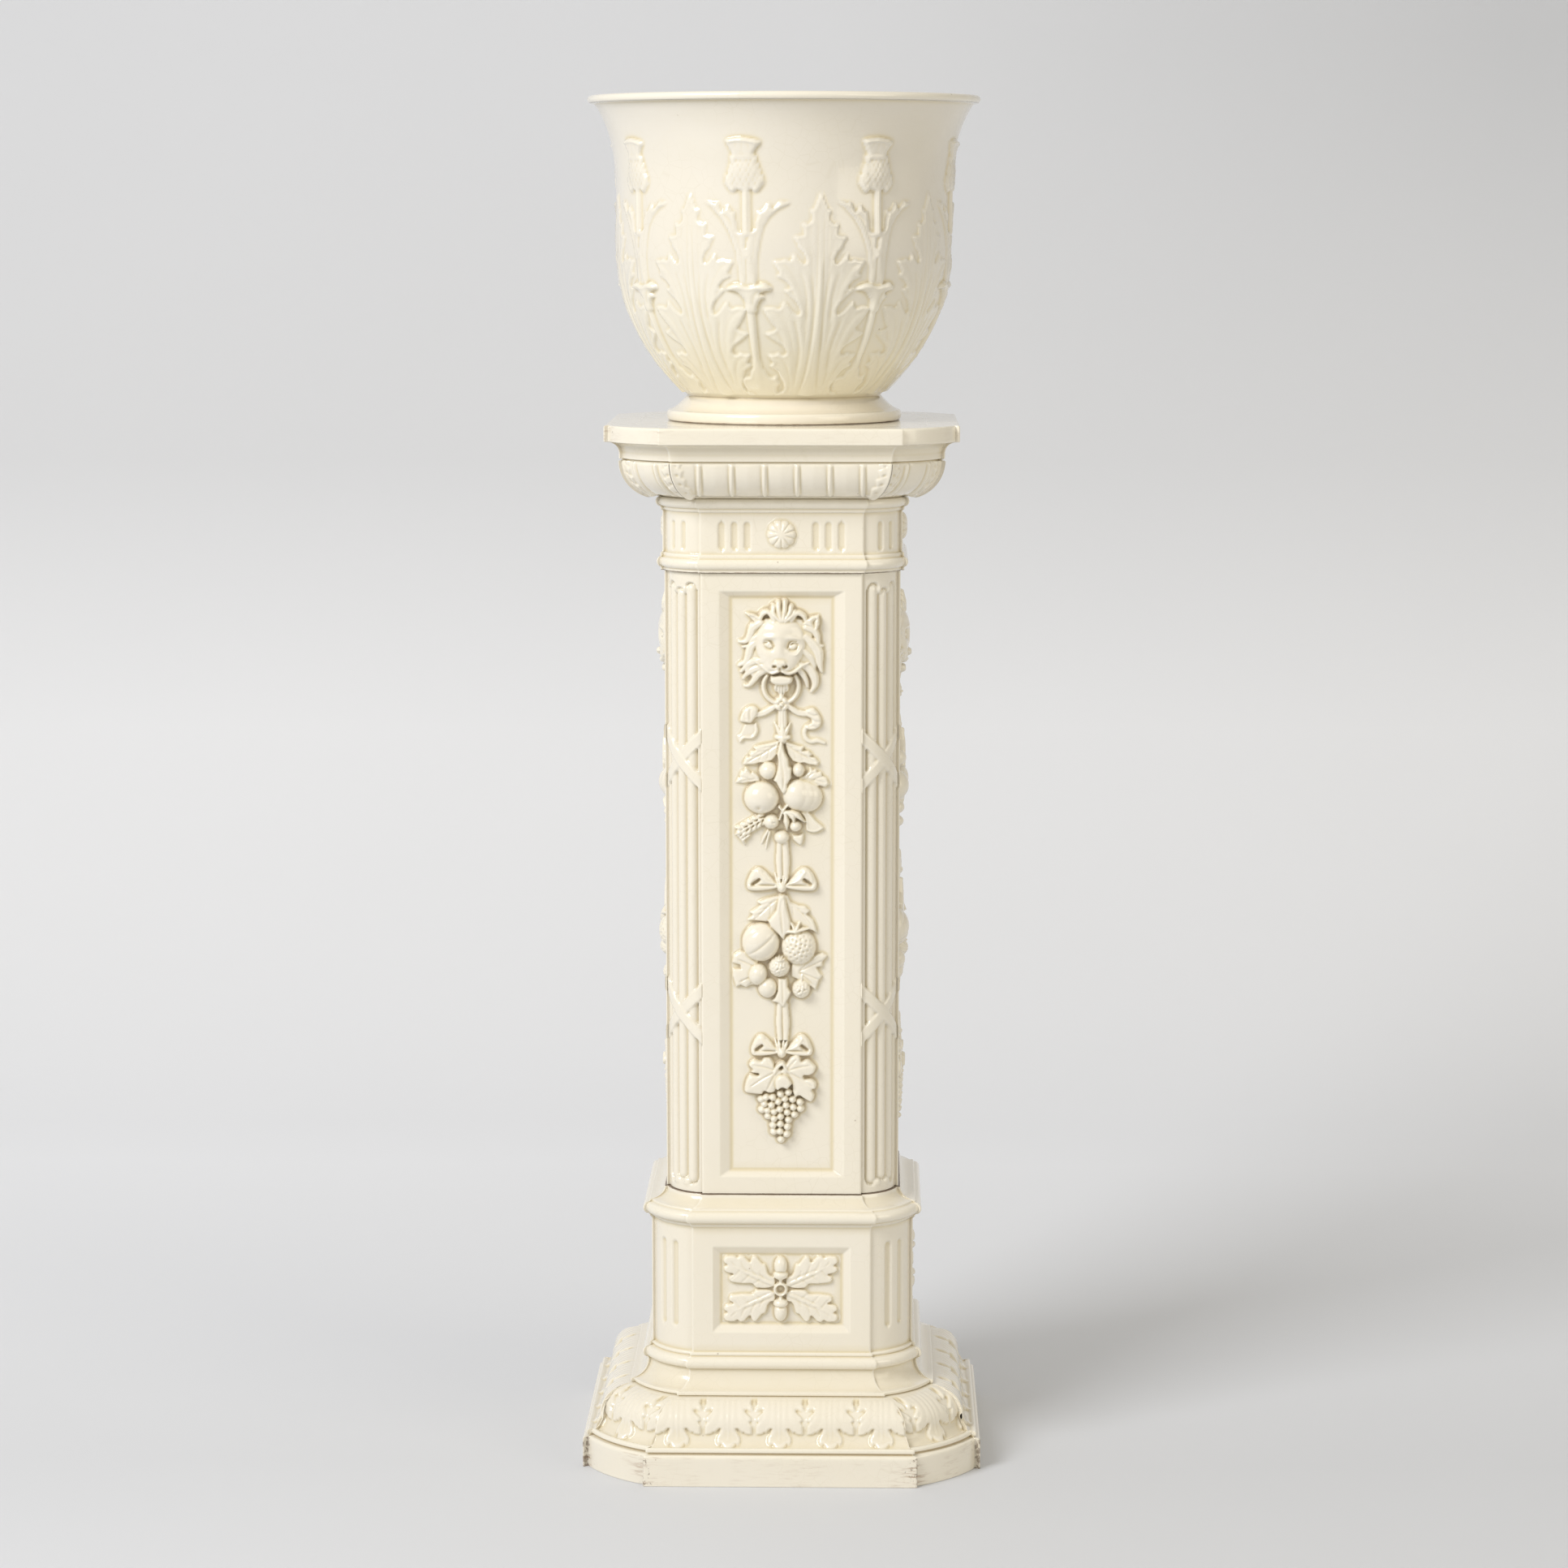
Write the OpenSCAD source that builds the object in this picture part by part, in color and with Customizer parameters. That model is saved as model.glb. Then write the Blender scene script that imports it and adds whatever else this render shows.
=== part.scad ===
// Jardiniere on a tall pedestal, in cream glazed earthenware.
// The pedestal is three hollow sections, stacked dry: base, shaft and capital.
// Every section has four flat faces and four round corners, set a little behind the faces.
// Origin: centre of the base's underside. Z is up, and the front face looks along -Y.

/* [Plan of the stand] */
// Width of the shaft across two opposite flat faces
shaft_width = 197; // [180:1:220]
// Half length of a flat face, as a share of its distance from the centre
face_share = 0.68; // [0.64:0.01:0.72]
// Radius of the shaft's round corners
shaft_corner_r = 37.2; // [33:0.1:42]
// How far the shaft's corner arcs stay behind its faces
corner_setback = 2.3; // [1:0.1:4]
// How much a corner radius grows for each millimetre that a moulding stands out
corner_growth = 1.147; // [1:0.001:1.2]
// Thickness of the moulded clay wall
wall = 12; // [10:0.5:15]

/* [Base] */
// Width of the plinth across its flat faces
plinth_width = 337; // [320:1:360]
// Height of the plinth
plinth_h = 26.5; // [20:0.5:40]
// Height of the small lip on the plinth
plinth_lip_h = 5.5; // [4:0.5:9]
// Height of the leaf band
leaf_band_h = 34.3; // [28:0.1:45]
// Distance from leaf to leaf along the band
leaf_pitch = 43.4; // [36:0.1:45]
// Depth of the gaps between those leaves
leaf_gap_depth = 2.2; // [1:0.1:4]
// Width across the foot of the scotia, above the leaf band
scotia_foot_width = 258; // [250:1:272]
// Height of the scotia
scotia_h = 20.2; // [16:0.1:30]
// Width of the die across its flat faces
die_width = 222; // [214:1:230]
// Height of the die
die_h = 107.5; // [95:0.5:140]
// Height of each round bead on the base
base_bead_h = 9.6; // [7:0.1:12]
// Height of the fillets between beads and die
base_fillet_h = 4.2; // [3:0.1:6]
// Height of the hollow moulding that carries the shaft
base_top_h = 12.1; // [9:0.1:18]
// Ledge of the base that shows round the shaft
base_ledge = 1.7; // [1:0.1:4]

/* [Shaft] */
// Height of the shaft between its two dry joints
shaft_h = 525.4; // [500:1:600]
// Plain border beside a sunk panel
panel_border = 14.9; // [12:0.1:20]
// Plain border above and below a sunk panel
panel_end_border = 15; // [12:0.5:25]
// Width of the bevel round a panel
panel_bevel = 9.8; // [6:0.1:12]
// Height of the bevel at a panel's two ends
panel_end_bevel = 5.5; // [4:0.1:9]
// Depth of the panels
panel_depth = 5; // [3:0.1:6.5]
// Radius of one reed on a corner
reed_r = 4.8; // [4.2:0.1:5.1]
// Depth of the field that the reeds stand in
reed_depth = 4.6; // [3:0.1:5.5]
// Plain end of a corner above and below its reeds
reed_end = 9; // [7:0.5:16]
// Width of the crossed ribbons on the reeds
ribbon_w = 8.5; // [6:0.5:11]

/* [Capital] */
// Width of the frieze across its flat faces
frieze_width = 200; // [190:1:210]
// Height of the frieze
frieze_h = 34.4; // [30:0.1:45]
// Height of each round bead on the capital
capital_bead_h = 8.4; // [6:0.1:11]
// Height of the small fillets beside the beads
capital_fillet_h = 3.5; // [2:0.1:5]
// Width across the top of the round bowl moulding
bowl_width = 266.8; // [255:0.1:276]
// Height of the round bowl moulding
bowl_h = 31.4; // [26:0.1:40]
// Distance from rib to rib on the bowl moulding
rib_pitch = 26.8; // [20:0.1:30]
// Height of the plain fillet over the bowl moulding
bowl_fillet_h = 6.4; // [4:0.1:9]
// Height of the hollow moulding under the top slab
cavetto_h = 8.6; // [6:0.1:12]
// Width of the top slab across its flat faces
slab_width = 293.4; // [284:0.1:310]
// Height of the top slab's edge
slab_h = 13.5; // [10:0.5:20]

/* [Dry joints] */
// Height of the collar that stands up into the section above
collar_h = 14; // [8:1:25]
// Thickness of a collar
collar_t = 9; // [6:0.5:11]
// Gap between a collar and the section over it
collar_gap = 1.2; // [0.6:0.1:2.5]

/* [Jardiniere] */
// Height of the jardiniere
jardiniere_h = 270; // [240:1:310]
// Diameter across the rolled lip
lip_d = 329; // [310:1:350]
// Diameter of the body at its widest plain part
belly_d = 281; // [270:1:292]
// Height of that widest part above the stand
belly_up = 161; // [140:1:180]
// Diameter of the waist between body and foot
waist_d = 163; // [150:1:176]
// Number of thistles round the body, with as many acanthus leaves between them
pot_repeats = 8; // [6:1:9]
// How far the leaves stand out of the body
pot_relief = 1.9; // [1.2:0.1:3.5]
// Diameter of the foot
foot_d = 198; // [186:1:215]
// Height of the foot
foot_h = 21.3; // [16:0.1:30]
// Height of the round band at the bottom of the foot
foot_band_h = 9; // [6:0.5:12]
// Radius of the rolled lip
lip_r = 3.4; // [2.5:0.1:4.5]
// Thickness of the jardiniere's wall
pot_wall = 8; // [6:0.5:11]
// Thickness of the jardiniere's floor
pot_floor = 12; // [8:1:18]
// Height of the hollow under the foot
foot_hollow_h = 7; // [4:1:12]

/* [Carved ornament] */
// Radius of a rosette on the frieze
rosette_r = 11.9; // [9:0.1:14]
// How far a rosette stands out
rosette_t = 4; // [3:0.1:6]
// Number of petals on a rosette
rosette_petals = 12; // [8:1:16]
// Length of an oak leaf on the die
oak_leaf_l = 44; // [36:1:46]
// Thickness of the leaves
leaf_t = 2.4; // [1.5:0.1:3.5]
// Radius of the two apples
apple_r = 14.3; // [11:0.1:15.5]
// Radius of one grape
grape_r = 3.5; // [3:0.1:4]
// Radius of the ring in the lion's mouth
ring_r = 14.2; // [11:0.1:16]

/* [Hidden] */
$fn = 64;
SIDES = ["front", "right", "back", "left"];

glaze = "#ECE3CD";
glaze_sprig = "#E9DFC6";

// Half widths, measured from the centre to a flat face
shaft_w = shaft_width / 2;
plinth_w = plinth_width / 2;
die_w = die_width / 2;
scotia_w = scotia_foot_width / 2;
frieze_w = frieze_width / 2;
bowl_w = bowl_width / 2;
slab_w = slab_width / 2;
shaft_in = shaft_w - wall;
collar_out = shaft_in - collar_gap;
collar_in = collar_out - collar_t;

// Heights of the base's mouldings
band_z = plinth_h + plinth_lip_h;
scotia_z = band_z + leaf_band_h;
foot_bead_z = scotia_z + scotia_h;
die_z = foot_bead_z + base_bead_h + base_fillet_h;
die_top_z = die_z + die_h;
cap_bead_z = die_top_z + base_fillet_h;
base_top_z = cap_bead_z + base_bead_h;
base_h = base_top_z + base_top_h;

// Heights of the shaft and the capital
shaft_z = base_h;
capital_z = shaft_z + shaft_h;
neck_z = capital_z + capital_bead_h + 2 * capital_fillet_h;
frieze_top_z = neck_z + frieze_h;
bowl_z = frieze_top_z + capital_bead_h + capital_fillet_h;
bowl_top_z = bowl_z + bowl_h;
cavetto_z = bowl_top_z + bowl_fillet_h;
slab_z = cavetto_z + cavetto_h;
stand_h = slab_z + slab_h;

// A corner is turned about an axis that all three sections share. Inside the shaft's face the
// arcs are concentric, and outside it they grow faster than the mouldings stand out.
corner_axis = shaft_w - corner_setback - shaft_corner_r;
function corner_r(w) = shaft_corner_r + (w > shaft_w ? corner_growth : 1) * (w - shaft_w);
reach = 2 * plinth_w;

// Sunk panels: half width at the face, and their two heights
panel_half = face_share * shaft_w - panel_border;
panel_floor_w = shaft_w - panel_depth;
panel_inner_h = shaft_h - 2 * panel_end_border - 2 * panel_end_bevel;
die_border = 17.5;
die_end_border = 16.7;
die_panel_half = face_share * die_w - die_border;
die_panel_h = die_h - 2 * die_end_border;
die_bevel = 7.5;
die_floor_w = die_w - panel_depth;

// Places down the panel, as shares of its inner height from its middle
lion_at = 0.408;
upper_fruit_at = 0.166;
middle_bow_at = 0.001;
lower_fruit_at = -0.112;
lower_bow_at = -0.291;
grapes_at = -0.336;

// Quarter of an ellipse from p to q. It leaves p level if level_first, and upright otherwise.
function quarter(p, q, level_first, steps = 6) = [for (i = [1:steps]) let (a = 90 * i / steps)
    level_first ? [p.x + (q.x - p.x) * sin(a), p.y + (q.y - p.y) * (1 - cos(a))]
                : [p.x + (q.x - p.x) * (1 - cos(a)), p.y + (q.y - p.y) * sin(a)]];

// Round bead on a wall at w, from height z over h, standing out by out
function bead(w, z, h, out, steps = 8) = [for (i = [0:steps]) let (a = 180 * i / steps)
    [w + out * sin(a), z + h * (1 - cos(a)) / 2]];

// Straight band of polygon points along a path, for ribbons
function band(path, half_w) = let (n = len(path) - 1,
    side = [for (i = [0:n]) let (d = path[min(i + 1, n)] - path[max(i - 1, 0)])
        half_w * [-d.y, d.x] / norm(d)])
    concat([for (i = [0:n]) path[i] + side[i]], [for (i = [n:-1:0]) path[i] - side[i]]);

// Closed outline from its right half
function both_sides(half) = concat(half, [for (i = [len(half) - 1:-1:0])
    if (half[i].x > 0) [-half[i].x, half[i].y]]);

// Leaf with lobed or toothed edges, from its stalk at the origin along +Y
function leaf(length, width, lobes, cut, steps = 4) = let (n = lobes * steps,
    edge = [for (i = [0:n]) let (t = i / n, lobe = abs(sin(180 * lobes * t)))
        [width / 2 * pow(sin(180 * pow(t, 0.85)), 0.7) * (1 - cut * (1 - lobe)), length * t]])
    concat(edge, [for (i = [n - 1:-1:1]) [-edge[i].x, edge[i].y]]);

// ---- The stand's plan ----

module face_wedge() {
    translate([0, 0, -1]) linear_extrude(stand_h + collar_h)
        polygon([[0, 0], [-face_share * reach, -reach], [face_share * reach, -reach]]);
}

module corner_wedge() {
    translate([0, 0, -1]) linear_extrude(stand_h + collar_h)
        polygon([[corner_axis, -corner_axis], [face_share * collar_in, -collar_in],
            [face_share * reach, -reach], [reach, -reach],
            [reach, -face_share * reach], [collar_in, -face_share * collar_in]]);
}

// Takes a closed outline of [half width, height] points round the four faces and corners
module round_the_stand(outline) {
    for (side = [0:3]) rotate(90 * side) {
        intersection() {
            face_wedge();
            rotate([90, 0, -90]) linear_extrude(2 * reach, center = true) polygon(outline);
        }
        intersection() {
            corner_wedge();
            translate([corner_axis, -corner_axis]) rotate_extrude()
                polygon([for (p = outline) [corner_r(p.x), p.y]]);
        }
    }
}

// Puts ornament on a face: X to the right, Y up, Z out of the face
module on_face(side, w, z) {
    rotate(90 * side) translate([0, -w, z]) rotate([90, 0, 0]) children();
}

// Puts something at an angle round a corner's axis, at a distance from it
module on_corner(side, angle, r) {
    rotate(90 * side) translate([corner_axis, -corner_axis, 0]) rotate(angle - 90)
        translate([r, 0, 0]) children();
}

// Upright groove with round ends, to cut out of a surface at the origin that faces -Y
module flute(h, half_w, depth) {
    r = (half_w * half_w + depth * depth) / (2 * depth);
    translate([0, depth - r, 0]) {
        translate([0, 0, r]) cylinder(r = r, h = h - 2 * r);
        for (z = [r, h - r]) translate([0, 0, z]) sphere(r);
    }
}

// Bevelled panel to cut into a face
module panel_cut(w, z, half, h, bevel, end_bevel, depth) {
    out = 1;
    slope = bevel / depth;
    end_slope = end_bevel / depth;
    translate([0, -w, z]) intersection() {
        linear_extrude(h + 4 * end_bevel, center = true) polygon([
            [-half - out * slope, -out], [half + out * slope, -out],
            [half - bevel, depth], [bevel - half, depth]]);
        rotate([90, 0, 90]) linear_extrude(2 * half + 4 * bevel, center = true) polygon([
            [-out, -h / 2 - out * end_slope], [depth, end_bevel - h / 2],
            [depth, h / 2 - end_bevel], [-out, h / 2 + out * end_slope]]);
    }
}

// ---- Base ----

// Line up the leaf band, hollow at its foot and round at its head
plinth_lip_in = 3.2;
function band_line(steps) = let (foot = [plinth_w - plinth_lip_in - 1.5, band_z],
    middle = [plinth_w - 14.5, band_z + 0.4 * leaf_band_h])
    concat([foot], quarter(foot, middle, true, steps), quarter(middle, [scotia_w, scotia_z], false, steps));

// Outline of the base's outside, from the floor up
function base_outside() = let (
    lip_w = plinth_w - plinth_lip_in, edge_r = 2.5,
    neck_w = die_w + 3.7, bead_out = 4.2, ledge_w = shaft_w + base_ledge)
    concat(
        [[plinth_w, 0], [plinth_w, plinth_h - edge_r]],
        quarter([plinth_w, plinth_h - edge_r], [plinth_w - edge_r, plinth_h], false, 3),
        [[lip_w - 2, plinth_h], [lip_w - 2, plinth_h + 1.8], [lip_w, plinth_h + 1.8],
         [lip_w, plinth_h + 4.5]],
        band_line(6),
        [[scotia_w - 1.5, scotia_z], [scotia_w - 1.5, scotia_z + 0.8], [scotia_w, scotia_z + 0.8],
         [scotia_w, scotia_z + 3.6]],
        quarter([scotia_w, scotia_z + 3.6], [neck_w, foot_bead_z - 1.6], true),
        bead(neck_w, foot_bead_z, base_bead_h, bead_out),
        [[die_w + 1.5, foot_bead_z + base_bead_h + 0.8], [die_w + 2.5, foot_bead_z + base_bead_h + 1.4],
         [die_w + 2.5, die_z - 0.8], [die_w, die_z], [die_w, die_top_z],
         [die_w + 2, die_top_z + 1.8], [die_w + 2, cap_bead_z - 0.6]],
        bead(die_w + 3, cap_bead_z, base_bead_h, bead_out),
        [[die_w + 2, base_top_z + 0.6], [die_w + 2, base_top_z + 2]],
        quarter([die_w + 2, base_top_z + 2], [ledge_w, base_h], true));

// Outline of the hollow inside, from the top down, with the collar
function base_inside() = let (sill = collar_h)
    [[collar_out, base_h], [collar_out, base_h + collar_h], [collar_in, base_h + collar_h],
     [collar_in, base_h - sill], [die_w - wall, base_h - 2.2 * sill],
     [die_w - wall, scotia_z - wall / 3], [plinth_w - 2.4 * wall, scotia_z - 1.5 * wall],
     [plinth_w - 1.35 * wall, plinth_h + plinth_lip_h / 2], [plinth_w - wall, 0]];

// Open space between two leaves, from the foot of the band up to where the leaves join
module leaf_gap() {
    k = leaf_band_h / 34.3;
    polygon(k * both_sides([[0, 0], [18, 0], [18, 1.6], [12, 4.6], [15.3, 8.4], [9.3, 9.6], [4.1, 11.6],
        [2.3, 15], [2.9, 18.2], [9.1, 25.2], [6.7, 27.2], [0, 28.5]]));
}

// Cuts the gaps between the leaves of one face and of the corner beside it
module leaf_gaps(side) {
    line = band_line(3);
    skin = concat([for (p = line) p + [4, 3]],
        [for (i = [len(line) - 1:-1:0]) line[i] - leaf_gap_depth * [1, 0.4]]);
    turn = leaf_pitch / 2 / corner_r(plinth_w - 20) * 180 / PI;
    rotate(90 * side) intersection() {
        rotate([90, 0, -90]) linear_extrude(plinth_width, center = true) polygon(skin);
        for (i = [-1.5:1.5]) translate([i * leaf_pitch, 0, band_z]) rotate([90, 0, 0])
            linear_extrude(plinth_w) leaf_gap();
    }
    intersection() {
        on_corner(side, 0, 0) rotate_extrude() polygon([for (p = skin) [corner_r(p.x), p.y]]);
        for (s = [-1, 1]) on_corner(side, 45 + s * turn, 0) translate([0, 0, band_z]) rotate([90, 0, 90])
            linear_extrude(plinth_w) leaf_gap();
    }
}

module base() {
    flute_h = 0.69 * die_h;
    color(glaze) difference() {
        round_the_stand(concat(base_outside(), base_inside()));
        for (side = [0:3]) {
            leaf_gaps(side);
            rotate(90 * side)
                panel_cut(die_w, die_z + die_h / 2, die_panel_half, die_panel_h, die_bevel,
                    die_bevel, panel_depth);
            for (turn = [-1, 1])
                on_corner(side, 45 + 13 * turn, corner_r(die_w)) translate([0, 0, die_z + (die_h - flute_h) / 2])
                    rotate(90) flute(flute_h, 3, 1.9);
        }
    }
}

// ---- Shaft ----

// Hollow tube that widens inwards at the top to carry its collar
function shaft_outline() = let (top = shaft_z + shaft_h)
    [[shaft_in, shaft_z], [shaft_w, shaft_z], [shaft_w, top], [collar_out, top],
     [collar_out, top + collar_h], [collar_in, top + collar_h],
     [collar_in, top - collar_h], [shaft_in, top - 2.2 * collar_h]];

// Angle between two neighbouring reeds
function reed_step() = 2 * asin(1.02 * reed_r / (shaft_corner_r - reed_r));

// Sunk field round a corner, cut between its two plain fillets
module reed_field(side) {
    half = 1.5 * reed_step() + 1;
    z0 = shaft_z + reed_end;
    h = shaft_h - 2 * reed_end;
    rotate(90 * side) translate([corner_axis, -corner_axis, z0]) difference() {
        linear_extrude(h) polygon([[0, 0], for (a = [-half, half]) 2 * shaft_corner_r * [cos(a - 45), sin(a - 45)]]);
        translate([0, 0, -1]) cylinder(r = shaft_corner_r - reed_depth, h = h + 2);
    }
}

// Three reeds with round tops and swelling lobes at the foot
module reeds(side) {
    end_gap = 0.5;
    h = shaft_h - 2 * reed_end - 2 * end_gap;
    shank_r = 0.96 * reed_r;
    lobe_h = 3 * reed_r;
    outline = concat([[0, 0]],
        quarter([0, 0], [reed_r, 0.9 * reed_r], true),
        quarter([reed_r, 0.9 * reed_r], [0.85 * reed_r, lobe_h], false, 4),
        [[shank_r, lobe_h + 1]],
        quarter([shank_r, h - 1.2 * reed_r], [0, h], false));
    for (i = [-1:1]) on_corner(side, 45 + i * reed_step(), shaft_corner_r - reed_r)
        translate([0, 0, shaft_z + reed_end + end_gap]) rotate_extrude() polygon(outline);
}

// Two crossed ribbons round the reeds of one corner
module crossed_ribbons(side, z) {
    tilt = 49;
    band_t = 1.2;
    rotate(90 * side) translate([corner_axis, -corner_axis, z]) intersection() {
        difference() {
            cylinder(r = shaft_corner_r + band_t, h = 80, center = true);
            cylinder(r = shaft_corner_r - reed_depth - 1, h = 90, center = true);
        }
        rotate(-45) for (lean = [-1, 1]) rotate([90 + lean * tilt, 0, 0])
            translate([shaft_corner_r, 0, 0]) cube([40, ribbon_w, 120], center = true);
        rotate(-45) linear_extrude(90, center = true)
            polygon([[0, 0], for (a = [-33, 33]) 2 * shaft_corner_r * [cos(a), sin(a)]]);
    }
}

module shaft() {
    color(glaze) union() {
        difference() {
            round_the_stand(shaft_outline());
            for (side = [0:3]) {
                rotate(90 * side)
                    panel_cut(shaft_w, shaft_z + shaft_h / 2, panel_half, shaft_h - 2 * panel_end_border,
                        panel_bevel, panel_end_bevel, panel_depth);
                reed_field(side);
            }
        }
        for (side = [0:3]) {
            reeds(side);
            for (share = [0.293, 0.702]) crossed_ribbons(side, shaft_z + share * shaft_h);
        }
    }
}

// ---- Capital ----

function capital_outside() = let (
    neck_w = frieze_w + 1.6, bead_out = 3.2, edge_r = 1.6,
    low_bead_z = capital_z + capital_fillet_h - 0.6, high_bead_z = frieze_top_z + capital_fillet_h)
    concat(
        [[neck_w, capital_z]],
        bead(neck_w, low_bead_z, capital_bead_h, bead_out),
        [[neck_w, neck_z - 0.7], [frieze_w, neck_z], [frieze_w, frieze_top_z], [neck_w, frieze_top_z + 0.7]],
        bead(neck_w, high_bead_z, capital_bead_h, bead_out + 0.8),
        quarter([neck_w + 0.4, bowl_z], [bowl_w, bowl_top_z], true, 10),
        [[bowl_w - 1.5, bowl_top_z], [bowl_w - 1.5, bowl_top_z + 0.8], [bowl_w + 1.2, bowl_top_z + 0.8],
         [bowl_w + 1.2, cavetto_z]],
        quarter([bowl_w + 1.6, cavetto_z], [slab_w - 1.9, slab_z], false, 4),
        [[slab_w, slab_z], [slab_w, stand_h - edge_r]],
        quarter([slab_w, stand_h - edge_r], [slab_w - edge_r, stand_h], false, 3));

function capital_inside() = let (rim = bowl_w - 1.2 * wall, under = stand_h - wall)
    [[rim, stand_h], [rim, under], [rim, bowl_top_z - wall / 4],
     [shaft_in + wall / 3, bowl_z + wall / 4], [shaft_in, neck_z], [shaft_in, capital_z]];

// Closed plate over the hollow, set into the slab's ring
module top_plate() {
    w = bowl_w - 0.6 * wall;
    m = face_share * w;
    translate([0, 0, stand_h - wall]) linear_extrude(wall)
        polygon([[-m, -w], [m, -w], [w, -m], [w, m], [m, w], [-m, w], [-w, m], [-w, -m]]);
}

// Line down the bowl moulding, standing out of it by out
function bowl_line(out) = let (foot_w = frieze_w + 3)
    concat([[foot_w + min(out, 0), bowl_z]],
        quarter([foot_w + out, bowl_z], [bowl_w - 2 + out, bowl_top_z], true, 10));

// Narrow upright rib down the bowl moulding, rooted in its wall
module bowl_rib() {
    rib_w = 2.4;
    rib_out = 1.2;
    outer = bowl_line(rib_out);
    inner = bowl_line(-wall / 4);
    translate([-rib_w / 2, 0, 0]) rotate([90, 0, 90]) linear_extrude(rib_w) polygon(concat(
        [for (p = outer) [-p.x, p.y]], [for (i = [len(inner) - 1:-1:0]) [-inner[i].x, inner[i].y]]));
}

module capital() {
    slot_h = 24;
    slot_z = neck_z + (frieze_h - slot_h) / 2;
    slot_pitch = 10.6;
    color(glaze) difference() {
        union() {
            round_the_stand(concat(capital_outside(), capital_inside()));
            top_plate();
            for (side = [0:3], i = [-2.5:2.5]) rotate(90 * side) translate([rib_pitch * i, 0, 0]) bowl_rib();
        }
        for (side = [0:3]) {
            for (i = [0:2], s = [-1, 1]) rotate(90 * side)
                translate([s * (28.3 + slot_pitch * i), -frieze_w, slot_z]) flute(slot_h, 3, 1.8);
            for (turn = [-1, 1])
                on_corner(side, 45 + 9 * turn, corner_r(frieze_w)) translate([0, 0, slot_z])
                    rotate(90) flute(slot_h, 2.6, 1.6);
        }
    }
}

// ---- Jardiniere ----

body_h = jardiniere_h - foot_h - 2 * lip_r;

// Outer radius of the bowl at a height above its waist
function pot_r(h) = let (low = min(1, h / (belly_up - foot_h)),
    high = max(0, (h - belly_up + foot_h) / (body_h + lip_r - belly_up + foot_h)))
    belly_d / 2 - (belly_d - waist_d) / 2 * pow(1 - low, 2.5)
    + (lip_d / 2 - lip_r - belly_d / 2) * pow(high, 3.8);

function pot_outline() = let (steps = 26, foot_r = foot_d / 2,
    floor_h = foot_hollow_h + pot_floor, lip_z = jardiniere_h - lip_r, lip_c = lip_d / 2 - lip_r)
    concat(
        [[0, foot_hollow_h], [foot_r - 16, foot_hollow_h], [foot_r - 13, 0], [foot_r - 1.5, 0]],
        bead(foot_r - 2, 0.5, foot_band_h - 0.5, 2),
        [[foot_r - 5.5, foot_band_h + 0.6]],
        quarter([foot_r - 5.5, foot_band_h + 0.6], [waist_d / 2, foot_h], true),
        [for (i = [1:steps]) let (h = body_h * i / steps) [pot_r(h), foot_h + h]],
        [for (a = [-60:30:150]) [lip_c + lip_r * cos(a), lip_z + lip_r * sin(a)]],
        [for (i = [steps:-1:2]) let (h = body_h * i / steps)
            if (foot_h + h > floor_h + 6) [pot_r(h) - pot_wall, foot_h + h]],
        quarter([pot_r(floor_h + 6 - foot_h) - pot_wall, floor_h + 6],
            [pot_r(floor_h + 6 - foot_h) - pot_wall - 12, floor_h], false, 3),
        [[0, floor_h]]);

// Skin round the body that stands out of its wall by t, and is rooted in the wall
module pot_skin(t, root) {
    steps = 7;
    heights = [for (i = [0:steps]) body_h * (0.01 + 0.87 * i / steps)];
    rotate_extrude($fn = 128) polygon(concat([for (h = heights) [pot_r(h) + t, foot_h + h]],
        [for (i = [steps:-1:0]) [pot_r(heights[i]) - root, foot_h + heights[i]]]));
}

// Lays a flat form on the front of the body. It is drawn for a belly 161 up.
module on_body(t, root) {
    k = belly_up / 161;
    intersection() {
        pot_skin(t, root);
        rotate([90, 0, 0]) linear_extrude(lip_d / 2) scale([k, k]) children();
    }
}

// Round boss on the front of the body, at a height above the stand
module boss(up, r, out) {
    translate([0, -pot_r(up - foot_h), up]) rotate([90, 0, 0]) rotate_extrude()
        polygon(concat([[0, -pot_wall / 2], [r, -pot_wall / 2], [r, 0]], quarter([r, 0], [0, out], false, 4)));
}

module acanthus() {
    on_body(pot_relief, pot_wall / 2)
        polygon(both_sides([[0, 190], [8, 168], [19, 153], [11, 139], [34, 135], [19, 98], [44, 99],
            [30, 68], [15, 27]]));
    on_body(1.7 * pot_relief, pot_wall / 2) polygon(both_sides([[0, 182], [2.6, 30]]));
}

// Tuft, stem, the leaves that curve up from the stem, the collar and the leaf that droops
module thistle() {
    on_body(1.3 * pot_relief, pot_wall / 3) {
        polygon(both_sides([[0, 229], [13.5, 232], [9, 214]]));
        translate([-3.3, 104]) square([6.6, 96]);
        for (s = [-1, 1]) polygon([for (p = [[2, 131], [21, 147], [15, 153], [33, 182], [11, 166], [2, 142]])
            [s * p.x, p.y]]);
        polygon(both_sides([[0, 120], [20, 116], [17, 102], [0, 103]]));
        polygon(both_sides([[0, 108], [10, 92], [19, 80], [11, 73], [27, 60], [14, 52], [28, 32], [0, 42]]));
    }
    boss(1.263 * belly_up, 14.2, 2.4 * pot_relief);
}

module jardiniere() {
    repeat = 360 / pot_repeats;
    color(glaze) translate([0, 0, stand_h]) {
        rotate_extrude($fn = 128) polygon(pot_outline());
        for (i = [0:pot_repeats - 1]) rotate(i * repeat) {
            rotate(-0.245 * repeat) thistle();
            rotate(0.255 * repeat) acanthus();
        }
    }
}

// ---- Ornament, moulded by itself and laid on the faces ----

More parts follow.
